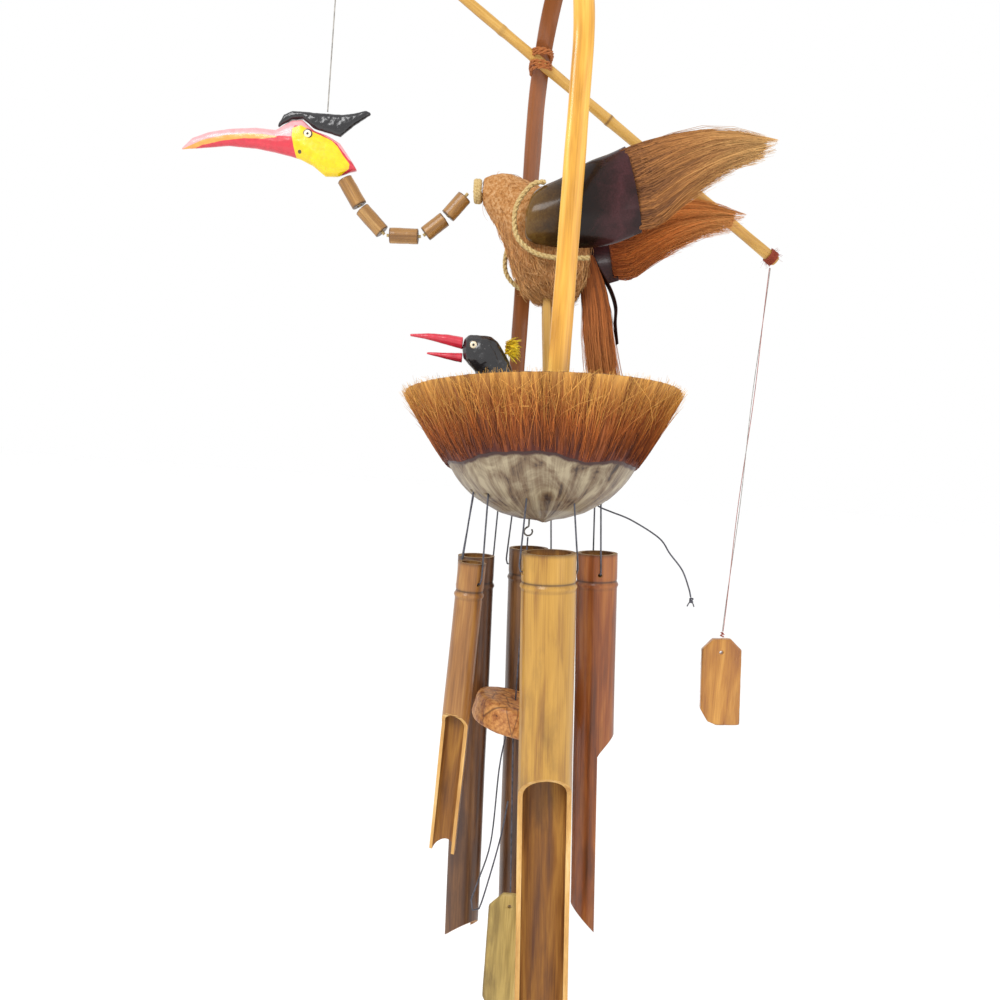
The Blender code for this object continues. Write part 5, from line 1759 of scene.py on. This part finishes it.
@dataclass
class Counterweight:
    """Bamboo slat that balances the head, on a doubled grey and red thread."""

    thread: float = 0.42
    apart: float = 0.8

    def build(self) -> None:
        """Build the doubled thread, the knot and the slat."""
        low, high = box_of("weight_string")
        share = np.linspace(0.0, 1.0, 90)
        top = np.array([high[0] - 0.65, (low[1] + high[1]) / 2, high[2]])
        foot = np.array([low[0] + 0.65, (low[1] + high[1]) / 2, low[2]])
        path = top + (foot - top) * share[:, None]
        for word, phase, finish in (("grey", 0.0, GREY_NYLON), ("red", math.pi, RED_THREAD)):
            turn = share * 9 + phase
            gap = self.apart * (0.45 + 0.55 * np.sin(math.pi * share))[:, None]
            offset = np.column_stack([np.cos(turn), np.sin(turn), 0 * turn]) * gap
            replaced = ("weight_string",) if word == "grey" else ()
            publish(f"weight_thread_{word}", sweep(path + offset, self.thread / 2 + 0.08, 8).mesh(
                word), [finish], "weight_line", replaced)
        low, high = box_of("weight_knot")
        middle, half = (low + high) / 2, (high - low) / 2
        t = np.linspace(0.0, math.tau * 3.5, 150)
        size = half[0] - 0.5
        path = middle + np.column_stack([
            size * np.cos(t) * (0.6 + 0.4 * np.cos(0.43 * t)),
            size * np.sin(t) * (0.6 + 0.4 * np.sin(0.61 * t)), (half[2] - 0.6) * np.sin(0.37 * t)])
        publish("weight_thread_knot", sweep(path, 0.5, 8).mesh("knot"), [RED_THREAD],
                "weight_line", ("weight_knot",))
        publish("weight_slat", slat("counterweight", 0.8), [SLAT_BAMBOO], "weight",
                ("counterweight",))


# --- chime tubes, clapper and sail ---------------------------------------------------------
@dataclass
class ChimeTube:
    """Bamboo tube: a cup over its node, a scoop cut away below and a slanted foot."""

    word: str
    top: tuple[float, float, float]
    foot_x: float
    dia: float
    wall: float
    length: float
    scoop: float
    facing: float
    slant: float
    finish: Finish
    cup: float = 20.0
    septum: float = 3.0
    thread_drop: float = 14.0
    thread_hole: float = 1.6
    around: int = 72

    @property
    def place(self) -> np.ndarray:
        """Matrix from the tube's own frame, with its top at the origin, to the chime's."""
        lean = math.degrees(math.atan2(-self.foot_x, self.length))
        return placed(shift(*self.top), turned(lean, "Y"))

    def face(self, depth: np.ndarray, angle: np.ndarray) -> np.ndarray:
        """Radius of the outer face: not quite round, with its node standing proud."""
        node = self.cup + self.septum / 2
        ridge = 0.9 * np.exp(-((depth - node - 0.6) / 1.3) ** 2)
        groove = -0.35 * np.exp(-((depth - node + 2.2) / 1.0) ** 2)
        phase = sum(ord(c) for c in self.word)
        oval = 0.16 * np.cos(2 * angle + phase) + 0.07 * np.cos(3 * angle + 2 * phase)
        waver = 0.12 * np.sin(depth / 23 + phase)
        return self.dia / 2 - 0.15 + ridge + groove + oval + waver

    def body(self) -> bpy.types.Mesh:
        """Turn the tube's outline: outer wall, inner wall, cup and septum."""
        angle = (math.tau * np.arange(self.around) / self.around)[None, :]
        inner = self.dia / 2 - self.wall
        node = self.cup + self.septum
        near = np.linspace(0.0, node + 8.0, 30)
        far = np.linspace(node + 12.0, self.length, 34)
        down = np.concatenate([near, far])[:, None]
        rows = [(self.face(down, angle), down)]
        inside = np.linspace(self.length, node, 20)[:, None]
        rows.append((inner + 0.1 * np.sin(3 * angle) + 0 * inside, inside + 0 * angle))
        rows.append((0.05 + 0 * angle, node + 0 * angle))
        rows.append((0.05 + 0 * angle, self.cup + 0 * angle))
        cup = np.linspace(self.cup, 0.0, 8)[:, None]
        rows.append((inner + 0 * cup + 0 * angle, cup + 0 * angle))
        radius = np.vstack([r + 0 * angle for r, _ in rows])
        depth = np.vstack([d + 0 * angle for _, d in rows])
        rings = np.stack([radius * np.cos(angle), radius * np.sin(angle), -depth], axis=-1)
        return Shape(rings.reshape(-1, 3), looped(rings)).mesh(self.word)

    def prism(self, side: Points) -> bpy.types.Mesh:
        """Cutter drawn in the tube's XZ plane and turned to face the scoop's way."""
        wide = self.dia / 2 + 2
        rings = np.array([[(x, y, z) for x, z in side] for y in (-wide, wide)])
        turn = placed(turned(self.facing, "Z"))
        return skin(rings).moved(turn).mesh("prism")

    def scoop_side(self) -> Points:
        """Outline of the scoop: a hollow shoulder, then the outer half of the wall."""
        outer = self.dia / 2
        inside, outside = 0.05 * outer, outer + 3
        low, high = -self.scoop - 0.95 * outer, -self.scoop + 3
        shoulder = [(inside + (outside - inside) * t, low + (high - low) * t ** 0.8)
                    for t in np.linspace(1, 0, 14)]
        return [*shoulder, (inside, -self.length - 2), (outside, -self.length - 2)]

    def build(self) -> None:
        """Turn the tube, cut it, mark its grain and cut faces, and dress its thread."""
        outer = self.dia / 2
        wide, end = outer + 3, -self.length
        foot = [(-wide, end + self.slant), (wide, end - self.slant * 0.3), (wide, end - 30),
                (-wide, end - 30)]
        cutters = [self.prism(self.scoop_side()), self.prism(foot), self.hole()]
        mesh = cut_away(self.body(), cutters)
        turn_out(mesh)
        spots = points_of(mesh)
        grain = spots + [0, 0, 7.0 * ord(self.word)]
        depth = -spots[:, 2]
        node = self.cup + self.septum / 2
        set_values(mesh, "stem", grain * MM)
        ring = np.exp(-((depth - node + 2.2) / 0.8) ** 2) + 0.6 * np.exp(
            -((depth - node - 2.6) / 0.5) ** 2)
        sooty = 0.6 * mask(1.2 - depth, 1.2)
        set_values(mesh, "joint", np.clip(ring * 0.85 + sooty, 0.0, 1.0))
        centres = rows_of(mesh.polygons, "center") / MM
        radius = np.hypot(centres[:, 0], centres[:, 1])
        inside, cut = radius < outer - self.wall + 0.25, radius < outer - 0.75
        # the inner wall's faces take the darkened inner finish, which paints the shade of the
        # hollow over the inner grain
        index = np.select([inside, cut], [1, 2], 0)  # inner wall, cut face, outer skin
        mesh.polygons.foreach_set("material_index", index.astype(np.int32))
        mesh.transform(Matrix(place_in_metres(self.place)))
        mesh.shade_smooth()
        mesh.set_sharp_from_angle(angle=math.radians(38.0))
        publish(f"bamboo_tube_{self.word}", mesh, [self.finish, SHADED_INNER_BAMBOO, CUT_BAMBOO],
                f"chime_{self.word}", (f"tube_{self.word}",))
        dress_node(f"thread_{self.word}", NYLON)

    def hole(self) -> bpy.types.Mesh:
        """Cutter for the two thread holes, square to the line from the ring's centre."""
        out = np.array([self.top[0] - 5.0, self.top[1], 0.0])
        across = np.array([-out[1], out[0], 0.0]) / np.hypot(out[0], out[1])
        back = np.linalg.inv(self.place)
        middle = np.array([0.0, 0.0, -self.thread_drop])
        run = (back[:3, :3] @ across) * (self.dia / 2 + 4)
        path = np.array([middle - run, middle, middle + run])
        return sweep(path, self.thread_hole, 14).mesh("hole")


def place_in_metres(place: np.ndarray) -> list[list[float]]:
    """Turn a matrix in millimetres to metres."""
    made = place.copy()
    made[:3, 3] *= MM
    return made.tolist()


def tube_finish(word: str, dark: str, middle: str, light: str, scorched: float) -> Grained:
    """Smoked and varnished bamboo in one tube's own tone.

    Args:
        word: the tube's letter.
        dark: colour of its darkest streaks.
        middle: its usual colour.
        light: colour of its palest streaks.
        scorched: how strongly it was blackened by the flame.

    Returns:
        The finish.
    """
    return Grained(f"smoked_bamboo_{word}", 0.4, 0.22, dark=dark, middle=middle, light=light,
                   scorch="#32160A", scorched=scorched, joint_colour="#2A1509", fibre=0.9,
                   streak=70.0, bump=0.15)


@dataclass
class Striker:
    """Wooden clapper on its string and wire hook, with the wind sail under it."""

    lump: float = 0.4
    lump_size: float = 11.0
    sail_bow: float = 0.6

    def build(self) -> None:
        """Build the clapper and the sail, and dress their strings."""
        mesh = refined("clapper", 0.9, 2, self.lump, self.lump_size)
        publish("branch_clapper", mesh, [BRANCH_WOOD], "striker", ("clapper",))
        publish("sail_slat", slat("wind_sail", self.sail_bow), [SAIL_BAMBOO], "sail",
                ("wind_sail",))
        dress_node("clapper_hook", WIRE)
        for node in ("clapper_string", "sail_string", "slack_thread"):
            dress_node(node, NYLON)


@dataclass
class LooseThread:
    """Spare end of nylon that sticks out of the nest and ends in a knot with two tails."""

    floor_z: float = -427.0
    dia: float = 1.2
    route: Points = field(default_factory=lambda: [
        (49, 30, 14), (56, 30, 9.5), (65, 30, 6.5), (80, 30, 1.5), (101, 30, -10),
        (110, 30, -21), (120, 30, -32.5), (126, 30, -45.5), (128, 30, -52)])

    def build(self) -> None:
        knots = [(x, y, self.floor_z + z) for x, y, z in self.route]
        path = curve_through(knots, np.linspace(0.0, 1.0, 81))
        thread = publish("spare_thread", sweep(path, self.dia / 2, 10).mesh("spare_thread"),
                         [NYLON], ROOT, ("loose_thread",))
        low, high = box_of("loose_knot")
        middle, half = (low + high) / 2, (high - low) / 2
        t = np.linspace(0.0, math.tau * 3, 120)
        turn = middle + np.column_stack([1.1 * np.cos(t), 1.1 * np.sin(t),
                                         (half[2] - 0.6) * np.cos(0.45 * t)])
        tails = [sweep(curve_through([middle, middle + [s * 1.4, 0.6, -2.0],
                                      middle + [s * 2.6, 0.9, -4.6]], np.linspace(0, 1, 10)),
                       0.45, 8) for s in (-1, 1)]
        knot = publish("spare_thread_knot", joined([sweep(turn, 0.5, 8), *tails]).mesh("knot"),
                       [NYLON], ROOT, ("loose_knot",))


# --- studio ----------------------------------------------------------------------------------
@dataclass
class Studio:
    """Camera, pale floor, white surroundings and soft lights."""

    camera_place: tuple[float, float, float] = (-0.017439008519, -0.7, -0.360166052484)
    pitch: float = 4.5
    roll: float = 4.2
    lens: float = 36.0
    floor_drop: float = 0.07
    floor_size: float = 14.0
    world: str = "#FFFFFF"
    world_strength: float = 1.0

    def build_camera(self) -> None:
        """Camera a little above the nest that looks down and leans to one side."""
        pitch, roll = math.radians(self.pitch), math.radians(self.roll)
        ahead = Vector((0, math.cos(pitch), -math.sin(pitch)))
        level, side = Vector((0, math.sin(pitch), math.cos(pitch))), Vector((1, 0, 0))
        right = math.cos(roll) * side + math.sin(roll) * level
        up = -math.sin(roll) * side + math.cos(roll) * level
        data = bpy.data.cameras.new("camera")
        data.lens = self.lens
        data.sensor_width = self.lens
        data.clip_start = 0.01
        camera = bpy.data.objects.new("camera", data)
        camera.matrix_world = Matrix((
            (right.x, up.x, -ahead.x, self.camera_place[0]),
            (right.y, up.y, -ahead.y, self.camera_place[1]),
            (right.z, up.z, -ahead.z, self.camera_place[2]), (0, 0, 0, 1)))
        bpy.context.scene.collection.objects.link(camera)
        bpy.context.scene.camera = camera

    def build_floor(self) -> None:
        """Large matt white floor under the chime."""
        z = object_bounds()[0][2] - self.floor_drop
        half = self.floor_size / 2
        mesh = bpy.data.meshes.new("floor")
        mesh.from_pydata([(-half, -half, z), (half, -half, z), (half, half, z), (-half, half, z)],
                         [], [(0, 1, 2, 3)])
        paint = bpy.data.materials.new("matt_white_floor_paint")
        paint.use_nodes = True
        shader = paint.node_tree.nodes["Principled BSDF"]
        shader.inputs["Base Color"].default_value = linear("#FFFFFF")
        shader.inputs["Roughness"].default_value = 0.9
        mesh.materials.append(paint)
        floor = bpy.data.objects.new("floor", mesh)
        bpy.context.scene.collection.objects.link(floor)
        floor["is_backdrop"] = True

    def build_lights(self) -> None:
        """Bright even surroundings, a soft key from the upper left and a weak fill."""
        world = bpy.data.worlds.new("white_room")
        world.use_nodes = True
        backdrop = world.node_tree.nodes["Background"]
        backdrop.inputs["Color"].default_value = linear(self.world)
        backdrop.inputs["Strength"].default_value = self.world_strength
        bpy.context.scene.world = world
        for name, place, size, power in (("key", (-0.9, -1.5, 0.7), 0.8, 17.0),
                                         ("fill", (1.4, -1.2, -0.1), 1.2, 5.0)):
            data = bpy.data.lights.new(name, "AREA")
            data.size = size
            data.energy = power
            lamp = bpy.data.objects.new(name, data)
            lamp.location = place
            aim = Vector((0.0, 0.0, -0.35)) - Vector(place)
            lamp.rotation_euler = aim.to_track_quat("-Z", "Y").to_euler()
            bpy.context.scene.collection.objects.link(lamp)
        bpy.context.scene.view_settings.view_transform = "Standard"

    def build(self) -> None:
        """Build the camera, floor and lights."""
        self.build_camera()
        self.build_floor()
        self.build_lights()


def tubes() -> list[ChimeTube]:
    """The five tubes with their sizes and tones."""
    return [
        ChimeTube("a", (-33, -32, -456), -7, 19.4, 2.6, 207, 103, 250, 16,
                  tube_finish("a", "#6A401A", "#96642E", "#B48444", 0.5)),
        ChimeTube("b", (-32, 40, -461), 8, 28, 3, 297, 150, 131, 22,
                  tube_finish("b", "#34190A", "#553214", "#7A5026", 0.7)),
        ChimeTube("c", (7, 52, -454), 13, 30, 3, 300, 150, 81, 22,
                  tube_finish("c", "#38200E", "#5E3A1A", "#85592C", 0.65)),
        ChimeTube("d", (17, -52, -443), 21, 36, 3.2, 357, 146, 272, 24,
                  tube_finish("d", "#8A5A1C", "#B58632", "#C99840", 0.45)),
        ChimeTube("e", (54, 4, -448), 17, 28.7, 3, 281, 130, 4, 28,
                  tube_finish("e", "#54260A", "#864412", "#A66428", 0.6)),
    ]


def corners(bounds: tuple[Vector, Vector]) -> list[list[float]]:
    """A box's two corners as plain lists."""
    return [[float(x) for x in corner] for corner in bounds]


def main() -> None:
    """Build the studio, then every sub-assembly of the chime in order."""
    logging.basicConfig(level=logging.INFO, format="%(name)s: %(message)s")
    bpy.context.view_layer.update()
    Studio().build()
    LooseThread().build()
    nest = Nest()
    nest.build()
    Hoop(nest).build()
    Bird().build()
    for side in Side:
        Wing(side).build()
    HeadAndNeck().build()
    Chick().build()
    BalanceStick().build()
    Counterweight().build()
    for tube in tubes():
        tube.build()
    Striker().build()


if __name__ == "__main__":
    main()
